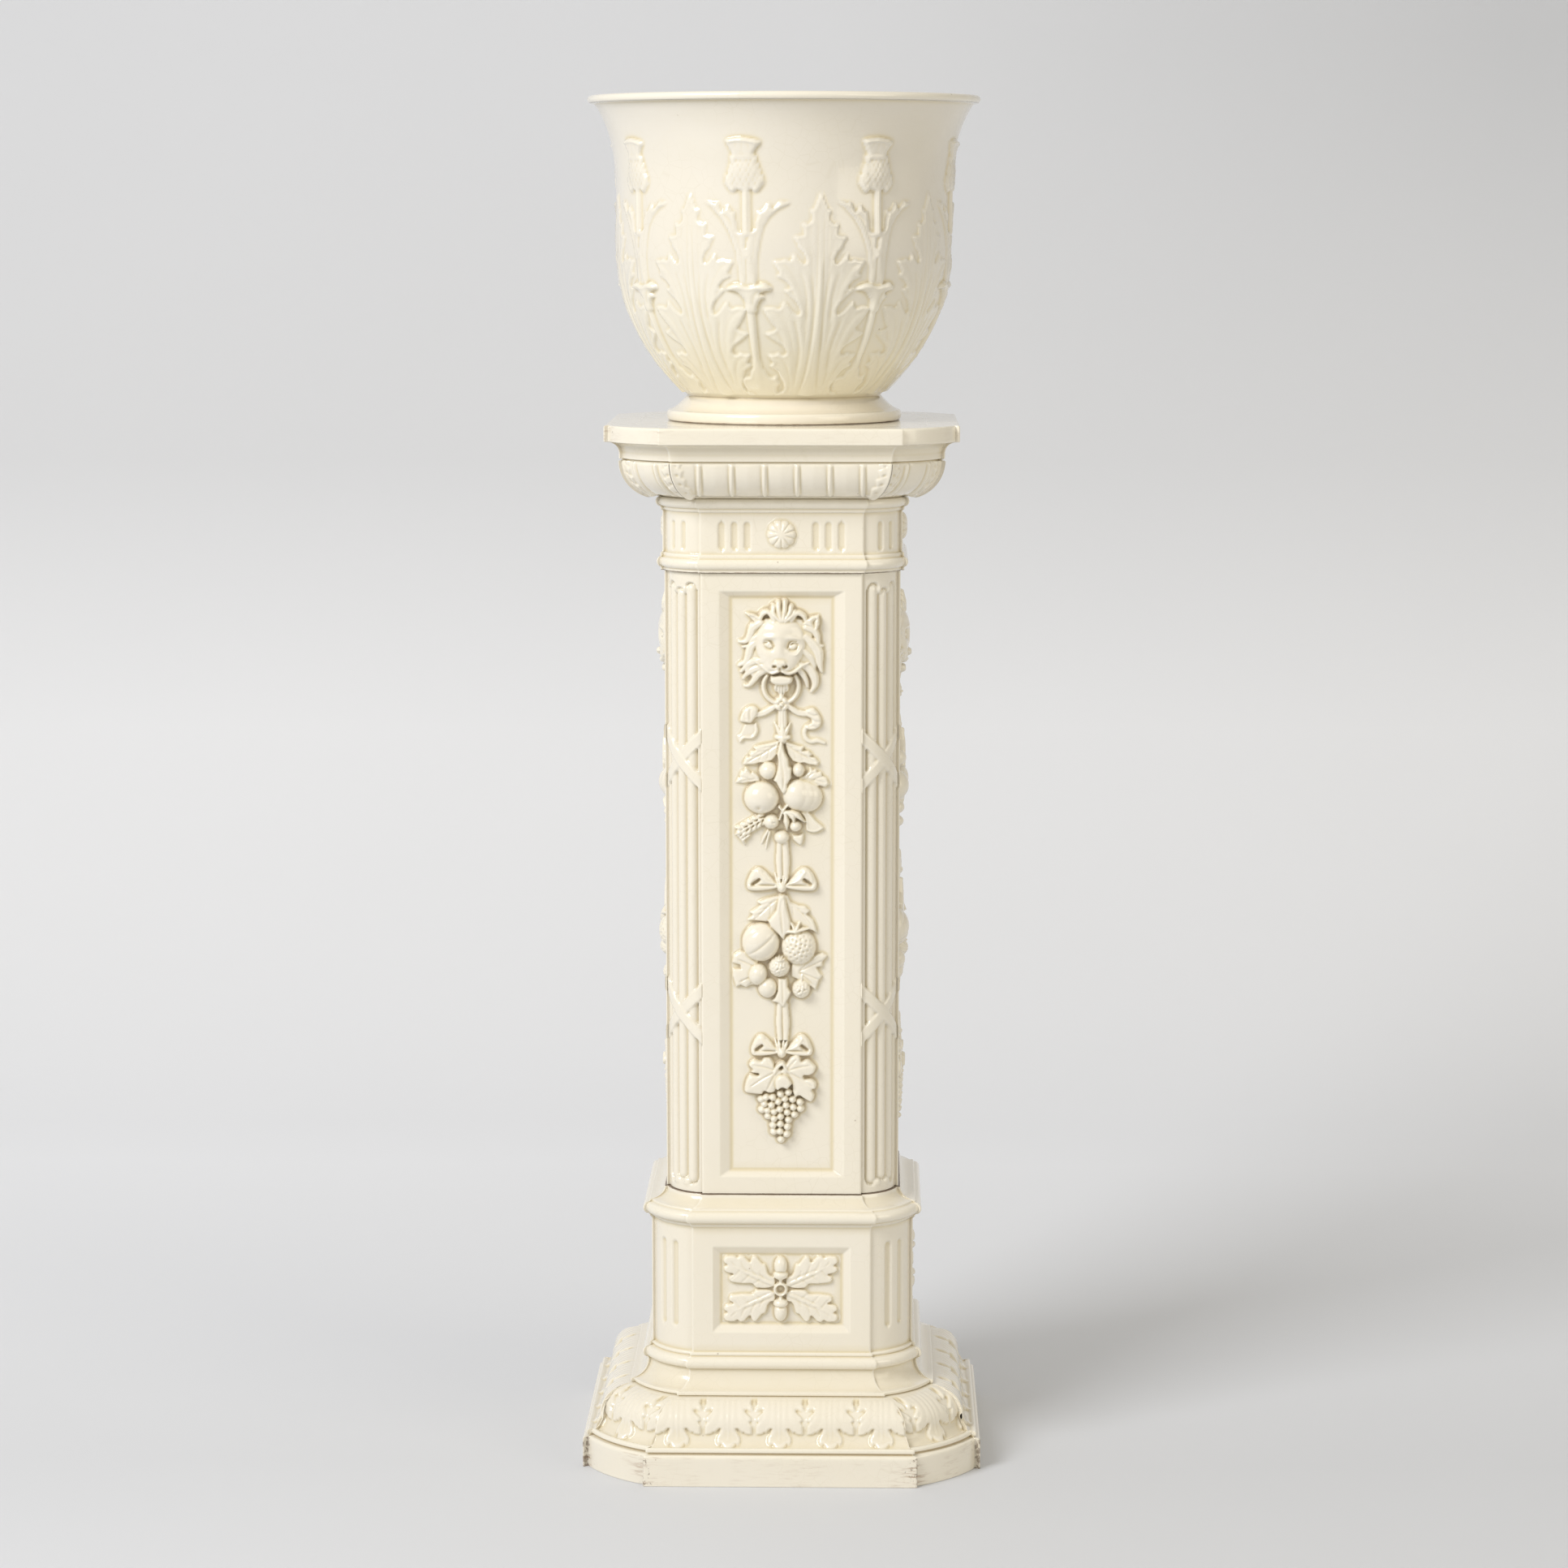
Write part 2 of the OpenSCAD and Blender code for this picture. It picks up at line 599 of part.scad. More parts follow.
// Keeps what stands in front of the face it lies on
module in_front() {
    intersection() {
        children();
        translate([-shaft_h / 2, -shaft_h / 2, 0]) cube([shaft_h, shaft_h, shaft_h]);
    }
}

// Ball that is partly sunk into the face, so that out of it stands out
module berry(x, y, r, out) {
    translate([x, y, out - r]) sphere(r);
}

module flat_leaf(x, y, turn, length, width, lobes, cut, t = leaf_t) {
    translate([x, y, 0]) rotate(turn) linear_extrude(t) polygon(leaf(length, width, lobes, cut));
}

module rosette(side) {
    petal_r = rosette_r * sin(180 / rosette_petals) * 1.05;
    color(glaze_sprig) on_face(side, frieze_w, neck_z + frieze_h / 2) in_front() {
        cylinder(r = rosette_r - petal_r, h = rosette_t * 0.55);
        for (i = [0:rosette_petals - 1]) rotate(360 * i / rosette_petals)
            berry(rosette_r - petal_r, 0, petal_r, petal_r * 0.9);
        berry(0, 0, rosette_r * 1.1, rosette_t * 0.85);
        berry(0, 0, rosette_r * 0.22, rosette_t);
    }
}

// Acorn lying on the face with its tip along +Y
module acorn(length, r) {
    translate([0, length * 0.38, 0]) {
        rotate([-90, 0, 0]) cylinder(r = r, h = length * 0.3);
        translate([0, length * 0.3, 0]) sphere(r);
        rotate([90, 0, 0]) cylinder(r1 = r * 1.15, r2 = r * 0.5, h = length * 0.25);
    }
    rotate([-90, 0, 0]) cylinder(r = r * 0.3, h = length * 0.3);
}

module oak_relief(side) {
    ring_out = 4.4;
    color(glaze_sprig) on_face(side, die_floor_w, die_z + die_h / 2) in_front() difference() {
        union() {
            for (sx = [-1, 1], sy = [-1, 1])
                flat_leaf(2.5 * sx, 1.5 * sy, sy * (sx > 0 ? -62 : 62) + (sy > 0 ? 0 : 180),
                    oak_leaf_l, 22, 5, 0.3);
            for (turn = [0, 180]) rotate(turn) translate([0, 4, 0.6]) acorn(22, 5.2);
            cylinder(r = 6, h = ring_out);
        }
        translate([0, 0, 1.4]) cylinder(r = 3.3, h = ring_out);
    }
}

// Lock of the mane, curling to one side
module lock(angle, length, width, bend, out) {
    path = [for (i = [0:5]) let (t = i / 5) [bend * sin(150 * t), 10 + length * t]];
    rotate(angle) linear_extrude(out) polygon(concat(
        [for (i = [0:5]) path[i] - [width / 2 * cos(16 * i), 0]],
        [for (i = [4:-1:0]) path[i] + [width / 2 * cos(16 * i), 0]]));
}

module lion_head() {
    for (s = [-1, 1]) {
        for (i = [0:5]) lock(s * (62 + 21 * i), 19 + (i % 2) * 3, 11, -s * 4, 6 - i * 0.3);
        translate([s * 22, 27, 0]) rotate(s * -40) linear_extrude(8)
            polygon([[-7, -6], [7, -6], [3, 4], [0, 10], [-4, 3]]);
        berry(s * 9, 9, 7, 13);
        berry(s * 8, -13, 8, 12.5);
        berry(s * 13, -2, 9, 11);
        berry(s * 9.5, 4, 2.2, 13.5);
        for (i = [1:2]) berry(s * 8 * i, 33 - 3 * i, 5.5, 8.5);
    }
    berry(0, 0, 28, 12);
    berry(0, 17, 19, 10.5);
    berry(0, 7, 8, 13.5);
    berry(0, -9, 6.5, 14.5);
    berry(0, 36, 6, 9);
    berry(0, -22, 7, 9.5);
}

// Ring hanging from the mouth, with the knot of ribbon tied on it
module mouth_ring(y) {
    translate([0, y, 1.8]) rotate_extrude() translate([ring_r, 0]) circle(2.3);
    berry(0, y - ring_r, 4.6, 7);
}

module curled_ribbon(s) {
    path = [for (i = [0:14]) let (t = i / 14)
        [s * (3 + 27 * t + 5 * sin(300 * t)), -3 + 4 * sin(260 * t) - 30 * pow(t, 1.6)]];
    linear_extrude(leaf_t) polygon(band(path, 2.4));
}

module bow(loop_w, loop_h) {
    berry(0, 0, 4.2, 6);
    for (s = [-1, 1]) translate([s * (loop_w / 2 + 1), 2, 0]) rotate(s * 14) linear_extrude(leaf_t * 1.5)
        difference() {
            polygon([for (a = [0:20:340]) [loop_w / 2 * cos(a), loop_h / 2 * sin(a) * (1.25 + s * 0.4 * cos(a))]]);
            polygon([for (a = [0:30:330]) [loop_w / 4 * cos(a), loop_h / 5 * sin(a)]]);
        }
}

// Strap of two folds between two heights
module strap(y0, y1) {
    for (s = [-1, 1]) translate([s * 2.2, y0, 0.8]) rotate([-90, 0, 0]) cylinder(r = 2.5, h = y1 - y0);
}

module upper_fruit() {
    for (s = [-1, 1]) {
        flat_leaf(s * 2, 44, s * -128, 38, 17, 4, 0.25, leaf_t * 1.4);
        flat_leaf(s * 8, 14, s * -103, 33, 14, 4, 0.2);
        berry(s * 16.4, -2, apple_r, 12);
        berry(s * 9.2, -23, 7.2, 9);
        berry(s * 12.5, 20, s < 0 ? 7.8 : 5.8, 9.5);
    }
    flat_leaf(0, 40, 180, 40, 12, 3, 0.2, leaf_t * 3);
    flat_leaf(8, -20, -125, 30, 14, 2, 0.1);
    flat_leaf(-8, -18, 122, 34, 11, 6, 0.3, leaf_t * 1.6);
    berry(0, -37, 6.8, 8.5);
    berry(14, -36, 4, 5);
}

module lower_fruit() {
    for (s = [-1, 1]) {
        flat_leaf(s * 2, 44, s * -150, 38, 17, 4, 0.25);
        flat_leaf(s * 6, -2, s * -116, 38, 36, 3, 0.3);
    }
    flat_leaf(0, 42, 180, 36, 15, 3, 0.2, leaf_t * 2);
    berry(-16.7, 10, 16, 12.5);
    berry(15.8, 6, 15, 12);
    berry(-0.8, -13, 9, 12);
    berry(-18, -19, 9, 9);
    berry(-10.2, -30, 8, 8);
    berry(17.2, -32, 7.6, 7.5);
    flat_leaf(0, -18, 180, 28, 18, 2, 0.15, leaf_t * 1.6);
}

module grape_bunch() {
    pitch = 1.84 * grape_r;
    for (s = [-1, 1]) flat_leaf(s * 1, 16, s * -118, 36, 34, 3, 0.35, leaf_t * 2.2);
    flat_leaf(0, 14, 180, 28, 24, 3, 0.3, leaf_t * 2.6);
    for (row = [0:7]) let (last = max(0, 5 - row + floor(row / 3))) for (i = [0:last])
        berry((i - last / 2) * pitch, -15 - row * pitch * 0.84, grape_r,
            7.5 - 0.2 * row - 0.25 * abs(i - last / 2));
}

// Each length of the festoon hangs from the one above, and meets it at a cut across the strap
lion_y = lion_at * panel_inner_h;
upper_y = upper_fruit_at * panel_inner_h;
bow_y = middle_bow_at * panel_inner_h;
lower_y = lower_fruit_at * panel_inner_h;
low_bow_y = lower_bow_at * panel_inner_h;
grapes_y = grapes_at * panel_inner_h;
ring_y = lion_y - 29;
strap_cut = 9;

module on_panel(side) {
    color(glaze_sprig) on_face(side, panel_floor_w, shaft_z + shaft_h / 2) in_front() children();
}

module lion_mask(side) {
    on_panel(side) {
        translate([0, lion_y, 0]) lion_head();
        mouth_ring(ring_y);
        translate([0, ring_y - ring_r, 0]) for (s = [-1, 1]) curled_ribbon(s);
        strap(upper_y + 44 + strap_cut, ring_y - ring_r);
    }
}

module upper_festoon(side) {
    on_panel(side) {
        strap(bow_y + strap_cut, upper_y + 44 + strap_cut);
        translate([0, upper_y, 0]) upper_fruit();
    }
}

module lower_festoon(side) {
    on_panel(side) {
        strap(low_bow_y + strap_cut, bow_y + strap_cut);
        translate([0, bow_y, 0]) bow(20, 12);
        translate([0, lower_y, 0]) lower_fruit();
    }
}

module grape_festoon(side) {
    on_panel(side) {
        strap(grapes_y, low_bow_y + strap_cut);
        translate([0, low_bow_y, 0]) bow(17, 11);
        translate([0, grapes_y, 0]) grape_bunch();
    }
}

base();
shaft();
capital();
jardiniere();
for (side = [0:3]) {
    oak_relief(side);
    lion_mask(side);
    upper_festoon(side);
    lower_festoon(side);
    grape_festoon(side);
    rosette(side);
}
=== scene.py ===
"""Glazed skins for a jardiniere on a three-part pedestal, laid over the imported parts.

Sizes are worked out in millimetres in the frame of the parts, and scaled once, where a mesh is
made. A moulding is a softened section taken round the stand's plan, with a map of heights for
what is carved on it. The festoons are maps of heights that lie on the sunk panels.
"""
from math import atan2, ceil, cos, hypot, pi, radians, sin, sqrt

import bpy
import numpy as np
from bpy.props import FloatProperty, FloatVectorProperty, IntProperty, PointerProperty
from bpy.types import Operator, Panel, PropertyGroup
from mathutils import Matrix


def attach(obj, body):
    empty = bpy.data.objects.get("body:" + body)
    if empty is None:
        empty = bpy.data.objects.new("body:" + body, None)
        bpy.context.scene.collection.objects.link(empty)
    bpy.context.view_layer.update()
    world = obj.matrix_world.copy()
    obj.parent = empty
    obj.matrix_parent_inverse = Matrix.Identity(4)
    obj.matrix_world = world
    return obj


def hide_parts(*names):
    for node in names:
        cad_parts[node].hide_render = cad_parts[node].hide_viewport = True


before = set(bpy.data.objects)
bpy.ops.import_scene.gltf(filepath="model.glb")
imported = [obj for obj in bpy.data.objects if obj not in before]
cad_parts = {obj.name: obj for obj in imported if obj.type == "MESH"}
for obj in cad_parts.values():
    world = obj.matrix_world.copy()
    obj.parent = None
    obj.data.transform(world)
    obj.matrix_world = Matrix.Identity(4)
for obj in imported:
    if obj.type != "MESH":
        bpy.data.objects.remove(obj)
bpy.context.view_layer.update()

bl_info = {
    "name": "Jardiniere on a pedestal",
    "version": (1, 0, 0),
    "blender": (4, 5, 0),
    "location": "View3D > Sidebar > Jardiniere",
    "description": "Builds the glazed mouldings, the festoons and the jardiniere over the packed parts",
    "category": "Add Mesh",
}

MM = 0.001
SIDES = ("front", "right", "back", "left")


# ---- Sizes and colours ----

def length(name, description, mm):
    return FloatProperty(name=name, description=description, default=mm * MM, min=0, unit="LENGTH")


def share(name, description, value, top=1.0):
    return FloatProperty(name=name, description=description, default=value, min=0, max=top)


def tint(name, description, value):
    return FloatVectorProperty(name=name, description=description, default=value, min=0, max=1,
                               size=3, subtype="COLOR")


class PlanSizes(PropertyGroup):
    """Plan that the base, the shaft and the capital share"""
    shaft_width: length("Shaft width", "Width of the shaft across two flat faces", 197)
    face_share: share("Face share", "Half length of a flat face over its distance from the centre", 0.68)
    shaft_corner_r: length("Corner radius", "Radius of the shaft's round corners", 37.2)
    corner_setback: length("Corner setback", "How far the corners stay behind the faces", 2.3)
    corner_growth: share("Corner growth",
                         "Growth of a corner's radius for each unit that a moulding stands out", 1.147, 2)
    wall: length("Wall", "Thickness of the moulded wall", 12)
    collar_h: length("Collar height", "Height of the collars in the dry joints", 14)
    collar_t: length("Collar thickness", "Thickness of the collars", 9)
    collar_gap: length("Collar gap", "Gap between a collar and the section over it", 1.2)
    arris_r: length("Arris", "How softly the glaze rounds the arrises", 0.5)


class BaseSizes(PropertyGroup):
    """Mouldings of the base, from the floor up"""
    plinth_width: length("Plinth width", "Width across the plinth's flat faces", 337)
    plinth_h: length("Plinth", "Height of the plinth", 26.5)
    plinth_lip_h: length("Plinth lip", "Height of the small lip on the plinth", 5.5)
    leaf_band_h: length("Leaf band", "Height of the band of leaves", 34.3)
    leaf_pitch: length("Leaf pitch", "Distance from leaf to leaf along the band", 42.8)
    leaf_depth: length("Leaf depth", "How far the leaves stand out", 2.2)
    scotia_foot_width: length("Scotia width", "Width across the foot of the scotia", 258)
    scotia_h: length("Scotia", "Height of the scotia", 20.2)
    die_width: length("Die width", "Width of the die across its faces", 222)
    die_h: length("Die", "Height of the die", 107.5)
    base_bead_h: length("Beads", "Height of the round beads", 9.6)
    base_fillet_h: length("Fillets", "Height of the fillets beside the die", 4.2)
    base_top_h: length("Top moulding", "Height of the hollow moulding that carries the shaft", 12.1)
    base_ledge: length("Ledge", "Ledge that shows round the shaft", 1.7)


class ShaftSizes(PropertyGroup):
    """Sunk panels, reeds and ribbons of the shaft"""
    shaft_h: length("Shaft height", "Height of the shaft between its dry joints", 525.4)
    panel_border: length("Panel border", "Plain border beside a panel", 14.9)
    panel_end_border: length("Panel end border", "Plain border above and below a panel", 15)
    panel_bevel: length("Panel bevel", "Width of the bevel beside a panel", 9.8)
    panel_end_bevel: length("Panel end bevel", "Height of the bevel at a panel's ends", 5.5)
    panel_depth: length("Panel depth", "Depth of the panels", 5)
    reed_r: length("Reed radius", "Radius of a reed", 4.8)
    reed_depth: length("Reed depth", "Depth of the field that the reeds stand in", 4.6)
    ribbon_w: length("Ribbon width", "Width of the crossed ribbons", 10)
    relief: share("Relief", "How far the ornament stands out, over its usual height", 1.0, 1.5)


class CapitalSizes(PropertyGroup):
    """Mouldings of the capital, from the shaft up"""
    frieze_width: length("Frieze width", "Width across the frieze", 200)
    frieze_h: length("Frieze", "Height of the frieze", 34.4)
    capital_bead_h: length("Beads", "Height of the round beads", 8.4)
    capital_fillet_h: length("Fillets", "Height of the small fillets", 3.5)
    bowl_width: length("Bowl width", "Width across the top of the bowl moulding", 266.8)
    bowl_h: length("Bowl moulding", "Height of the bowl moulding", 31.4)
    bowl_fillet_h: length("Bowl fillet", "Height of the fillet over the bowl moulding", 6.4)
    cavetto_h: length("Cavetto", "Height of the hollow under the slab", 8.6)
    slab_width: length("Slab width", "Width of the top slab across its faces", 293.4)
    slab_h: length("Slab", "Height of the slab's edge", 13.5)
    rib_pitch: length("Rib pitch", "Distance from rib to rib on the bowl moulding", 26.8)
    rosette_r: length("Rosette radius", "Radius of a rosette", 11.9)
    rosette_petals: IntProperty(name="Rosette petals", description="Number of petals", default=10, min=5)


class PotSizes(PropertyGroup):
    """Jardiniere"""
    jardiniere_h: length("Height", "Height of the jardiniere", 270)
    lip_d: length("Lip", "Diameter across the rolled lip", 329)
    belly_d: length("Body", "Diameter at the widest plain part", 281)
    belly_up: length("Belly height", "Height of the widest plain part above the stand", 161)
    waist_d: length("Waist", "Diameter of the waist", 163)
    foot_d: length("Foot", "Diameter of the foot", 198)
    foot_h: length("Foot height", "Height of the foot", 21.3)
    foot_band_h: length("Foot band", "Height of the round band under the foot", 9)
    lip_r: length("Lip radius", "Radius of the rolled lip", 3.4)
    pot_wall: length("Wall", "Thickness of the wall", 8)
    pot_floor: length("Floor", "Thickness of the floor", 12)
    foot_hollow_h: length("Foot hollow", "Height of the hollow under the foot", 7)
    sprays: IntProperty(name="Sprays", description="Number of thistles round the body", default=8, min=4)


class GlazeLook(PropertyGroup):
    """Cream glaze over earthenware"""
    cream: tint("Cream", "Colour of the glaze over the open surface", (0.84, 0.79, 0.685))
    pale: tint("Pale", "Colour where the glaze is thin, on arrises", (0.885, 0.84, 0.72))
    honey: tint("Honey", "Colour where the glaze pools", (0.715, 0.615, 0.385))
    # This colour is painted both as real dirt and as the shadow along the dry joints and round the
    # jardiniere's foot
    grime: tint("Grime", "Colour of the dirt in chips and corners", (0.17, 0.115, 0.075))
    pooling: share("Pooling", "How strongly the glaze colours in hollows", 0.7)
    clouding: share("Clouding", "How much the glaze's colour varies", 0.35)
    pot_shade: tint("Pot shade", "What the jardiniere's glaze takes from the cream", (0.93, 0.935, 0.955))
    crazing: share("Crazing", "Strength of the fine net of cracks", 0.12)
    roughness: share("Roughness", "Roughness of the glaze", 0.2)


class StageLook(PropertyGroup):
    """Camera, lamps and background"""
    lens: FloatProperty(name="Lens", description="Focal length in millimetres on a sensor of 36",
                        default=94.77)
    distance: length("Distance", "Distance of the camera from the stand's axis", 3499.2)
    eye_height: length("Eye height", "Height of the camera", 1060.4)
    pitch: FloatProperty(name="Pitch", description="How far the camera looks down", default=0.1394,
                         subtype="ANGLE")
    yaw: FloatProperty(name="Yaw", description="How far the camera stands to the right of the front",
                       default=0.02, subtype="ANGLE")
    key_power: FloatProperty(name="Key lamp", description="Power of the large lamp on the left, in watts",
                             default=95)
    fill_power: FloatProperty(name="Fill lamp", description="Power of the soft lamp on the right, in watts",
                              default=22)
    sky: share("Surroundings", "Brightness of the white surroundings", 0.55, 3)
    floor_tint: tint("Floor", "Colour of the floor", (0.636, 0.65, 0.685))
    # painted light: the lighter colour that the floor takes as it sweeps up into the backdrop
    backdrop_tint: tint("Backdrop", "Colour of the floor where it sweeps up behind the stand",
                        (0.905, 0.924, 0.975))


GROUPS = {"plan": PlanSizes, "base": BaseSizes, "shaft": ShaftSizes, "capital": CapitalSizes, "pot": PotSizes,
          "glaze": GlazeLook, "stage": StageLook}


def group_of(scene, key):
    return getattr(scene, "jardiniere_" + key)


# ---- Plan and heights ----

class Stand:
    """Sizes in millimetres, with the heights and the plan that follow from them"""

    def __init__(self, scene):
        for key in ("plan", "base", "shaft", "capital", "pot"):
            group = group_of(scene, key)
            for name in GROUPS[key].__annotations__:
                scale = 1 / MM if group.bl_rna.properties[name].unit == "LENGTH" else 1
                setattr(self, name, getattr(group, name) * scale)
        for part in ("shaft", "plinth", "die", "scotia_foot", "frieze", "bowl", "slab"):
            setattr(self, part + "_w", getattr(self, part + "_width") / 2)
        self.shaft_in = self.shaft_w - self.wall
        self.collar_out = self.shaft_in - self.collar_gap
        self.collar_in = self.collar_out - self.collar_t
        self.axis = self.shaft_w - self.corner_setback - self.shaft_corner_r
        # heights of the base
        self.band_z = self.plinth_h + self.plinth_lip_h
        self.scotia_z = self.band_z + self.leaf_band_h
        self.foot_bead_z = self.scotia_z + self.scotia_h
        self.die_z = self.foot_bead_z + self.base_bead_h + self.base_fillet_h
        self.die_top_z = self.die_z + self.die_h
        self.cap_bead_z = self.die_top_z + self.base_fillet_h
        self.base_top_z = self.cap_bead_z + self.base_bead_h
        self.shaft_z = self.base_top_z + self.base_top_h
        # heights of the capital
        self.capital_z = self.shaft_z + self.shaft_h
        self.neck_z = self.capital_z + self.capital_bead_h + 2 * self.capital_fillet_h
        self.frieze_top_z = self.neck_z + self.frieze_h
        self.bowl_z = self.frieze_top_z + self.capital_bead_h + self.capital_fillet_h
        self.bowl_top_z = self.bowl_z + self.bowl_h
        self.cavetto_z = self.bowl_top_z + self.bowl_fillet_h
        self.slab_z = self.cavetto_z + self.cavetto_h
        self.stand_h = self.slab_z + self.slab_h
        # jardiniere
        self.body_h = self.jardiniere_h - self.foot_h - 2 * self.lip_r

    def corner_r(self, w):
        growth = np.where(w > self.shaft_w, self.corner_growth, 1)
        return np.maximum(self.shaft_corner_r + growth * (w - self.shaft_w), 16.2)

    def corner_start(self, w):
        """Where the corner's arc begins, as its distance behind the origin along the mitre"""
        a, b, r = 1 + self.face_share, 1 + self.face_share ** 2, self.corner_r(w)
        inner = (self.axis * a) ** 2 - b * (2 * self.axis ** 2 - r * r)
        return (self.axis * a + np.sqrt(np.maximum(inner, 0))) / b

    def corner_half_angle(self, w):
        t = self.corner_start(w)
        return pi / 4 - np.arctan2(self.face_share * t - self.axis, t - self.axis)

    def collar(self, z):
        """Section of a collar that stands up from a dry joint at z"""
        return [(self.collar_out, z), (self.collar_out, z + self.collar_h),
                (self.collar_in, z + self.collar_h), (self.collar_in, z - self.collar_h)]

    def pot_r(self, h):
        """Outer radius of the jardiniere at a height above its waist"""
        low = np.minimum(1, np.maximum(h, 0) / (self.belly_up - self.foot_h))
        high = np.maximum(0, (h - self.belly_up + self.foot_h)
                          / (self.body_h + self.lip_r - self.belly_up + self.foot_h))
        return (self.belly_d / 2 - (self.belly_d - self.waist_d) / 2 * (1 - low) ** 2.5
                + (self.lip_d / 2 - self.lip_r - self.belly_d / 2) * high ** 3.8)


def quarter(p, q, level_first, steps=14):
    """Quarter of an ellipse from p to q. It leaves p level if level_first, and upright otherwise."""
    a = np.linspace(0, pi / 2, steps + 1)[1:]
    run, rise = (np.sin(a), 1 - np.cos(a)) if level_first else (1 - np.cos(a), np.sin(a))
    return [(p[0] + (q[0] - p[0]) * u, p[1] + (q[1] - p[1]) * v) for u, v in zip(run, rise)]


def bead(w, z, h, out, steps=20):
    """Round bead on a wall at w, from height z over h, standing out by out"""
    return [(w + out * sin(a), z + h * (1 - cos(a)) / 2) for a in np.linspace(0, pi, steps + 1)]


class Section:
    """Closed section through a moulding, walked with the clay on the left, and softened by its glaze"""

    STEP = 0.2

    def __init__(self, parts, soft=0.5, pool_reach=2.2):
        corners = np.array([p for part in parts.values() for p in part], float)
        first = np.cumsum([0] + [len(part) for part in parts.values()])
        ring = np.vstack([corners, corners[:1]])
        along = np.concatenate([[0], np.cumsum(np.hypot(*np.diff(ring, axis=0).T))])
        self.total = along[-1]
        self.spans = {name: (along[a], along[b]) for name, a, b in zip(parts, first, first[1:])}
        count = int(self.total / self.STEP)
        step = self.total / count
        self.s = np.arange(count) * step
        line = np.column_stack([np.interp(self.s, along, ring[:, k]) for k in (0, 1)])
        fine, broad = (self.rounded(line, reach, step) for reach in (soft, pool_reach))
        ahead = np.roll(fine, -1, 0) - np.roll(fine, 1, 0)
        ahead /= np.linalg.norm(ahead, axis=1, keepdims=True)
        out = np.column_stack([ahead[:, 1], -ahead[:, 0]])
        bend = np.linalg.norm(np.roll(ahead, -1, 0) - np.roll(ahead, 1, 0), axis=1) / (2 * step)
        wet = ((broad - fine) * out).sum(1)
        self.table = np.column_stack([fine, out, np.clip(wet / 0.9, -1, 1), np.sqrt(bend) / 0.5])

    @staticmethod
    def rounded(line, reach, step):
        f = np.fft.fftfreq(len(line), step)
        fade = np.exp(-2 * (pi * reach * f) ** 2)[:, None]
        return np.fft.ifft(np.fft.fft(line, axis=0) * fade, axis=0).real

    def at(self, s):
        return np.column_stack([np.interp(s, self.s, column, period=self.total) for column in self.table.T])

    def rows(self, name, step):
        """Rows of [w, z, out_w, out_z, pool, bend] over a part, closer where it bends"""
        s0, s1 = self.spans[name]
        s = np.concatenate([[s0], self.s[(self.s > s0) & (self.s < s1)], [s1]])
        cost = self.at(s)[:, 5] + 1 / step
        cost = np.concatenate([[0], np.cumsum((cost[1:] + cost[:-1]) / 2 * np.diff(s))])
        return self.at(np.interp(np.linspace(0, cost[-1], int(ceil(cost[-1])) + 1), cost, s))

    def rows_at(self, name, heights):
        """Rows at given heights over a part that rises all the way, with both its ends"""
        s0, s1 = self.spans[name]
        s = np.linspace(s0, s1, 4000)
        return self.at(np.unique(np.concatenate([[s0, s1], np.interp(heights, self.at(s)[:, 1], s)])))


def places(half, step, dense=()):
    """Places from -half to half, a step apart, closer at both ends and over the dense spans"""
    ends = np.array([0, 0.3, 0.7, 1.2, 1.8])
    near = ends[-1]
    inner = np.linspace(near - half, half - near, max(2, int(ceil((2 * half - 2 * near) / step)) + 1))
    parts = [ends - half, inner, half - ends]
    for a, b, close in dense:
        span = np.arange(a, b + close / 2, close)
        parts += [span, -span]
    found = np.unique(np.round(np.concatenate(parts), 3))
    keep = np.concatenate([[True], np.diff(found) > 0.12])
    return found[keep]


# ---- Maps of heights ----

def smooth_max(a, b, soft):
    """The greater of two heights, blended over a fillet"""
    gap = held(1 - np.abs(a - b) / soft)
    return np.maximum(a, b) + soft * gap * gap / 4


def held(share):
    """A share kept between 0 and 1"""
    return np.clip(share, 0, 1)


def bell(x, width):
    """Soft hump, 1 at nought and faded over a width"""
    return np.exp(-(x / width) ** 2)


def blurred(field, reach):
    """A field smoothed over a reach that is given in grid steps"""
    size = int(ceil(3 * reach))
    kernel = np.exp(-0.5 * (np.arange(-size, size + 1) / reach) ** 2)
    kernel /= kernel.sum()
    for axis in (0, 1):
        padding = [(size, size) if a == axis else (0, 0) for a in (0, 1)]
        padded = np.pad(field, padding, mode="edge")
        field = sum(k * np.take(padded, range(i, i + field.shape[axis]), axis) for i, k in enumerate(kernel))
    return field


def curve(points, steps=6):
    """Smooth path through points"""
    p = [np.array(q, float) for q in points]
    p = [2 * p[0] - p[1]] + p + [2 * p[-1] - p[-2]]
    out = []
    for i in range(1, len(p) - 2):
        for t in np.arange(0, 1, 1 / steps):
            out.append(0.5 * (2 * p[i] + (p[i + 1] - p[i - 1]) * t
                              + (2 * p[i - 1] - 5 * p[i] + 4 * p[i + 1] - p[i + 2]) * t * t
                              + (3 * p[i] - p[i - 1] - 3 * p[i + 1] + p[i + 2]) * t ** 3))
    out.append(p[-2])
    return np.array(out)


def spread(values, s):
    """Values given evenly along a path, read at the shares s of it"""
    values = np.atleast_1d(values)
    if len(values) == 1:
        return np.full_like(s, values[0], dtype=float)
    return np.interp(s, np.linspace(0, 1, len(values)), values)


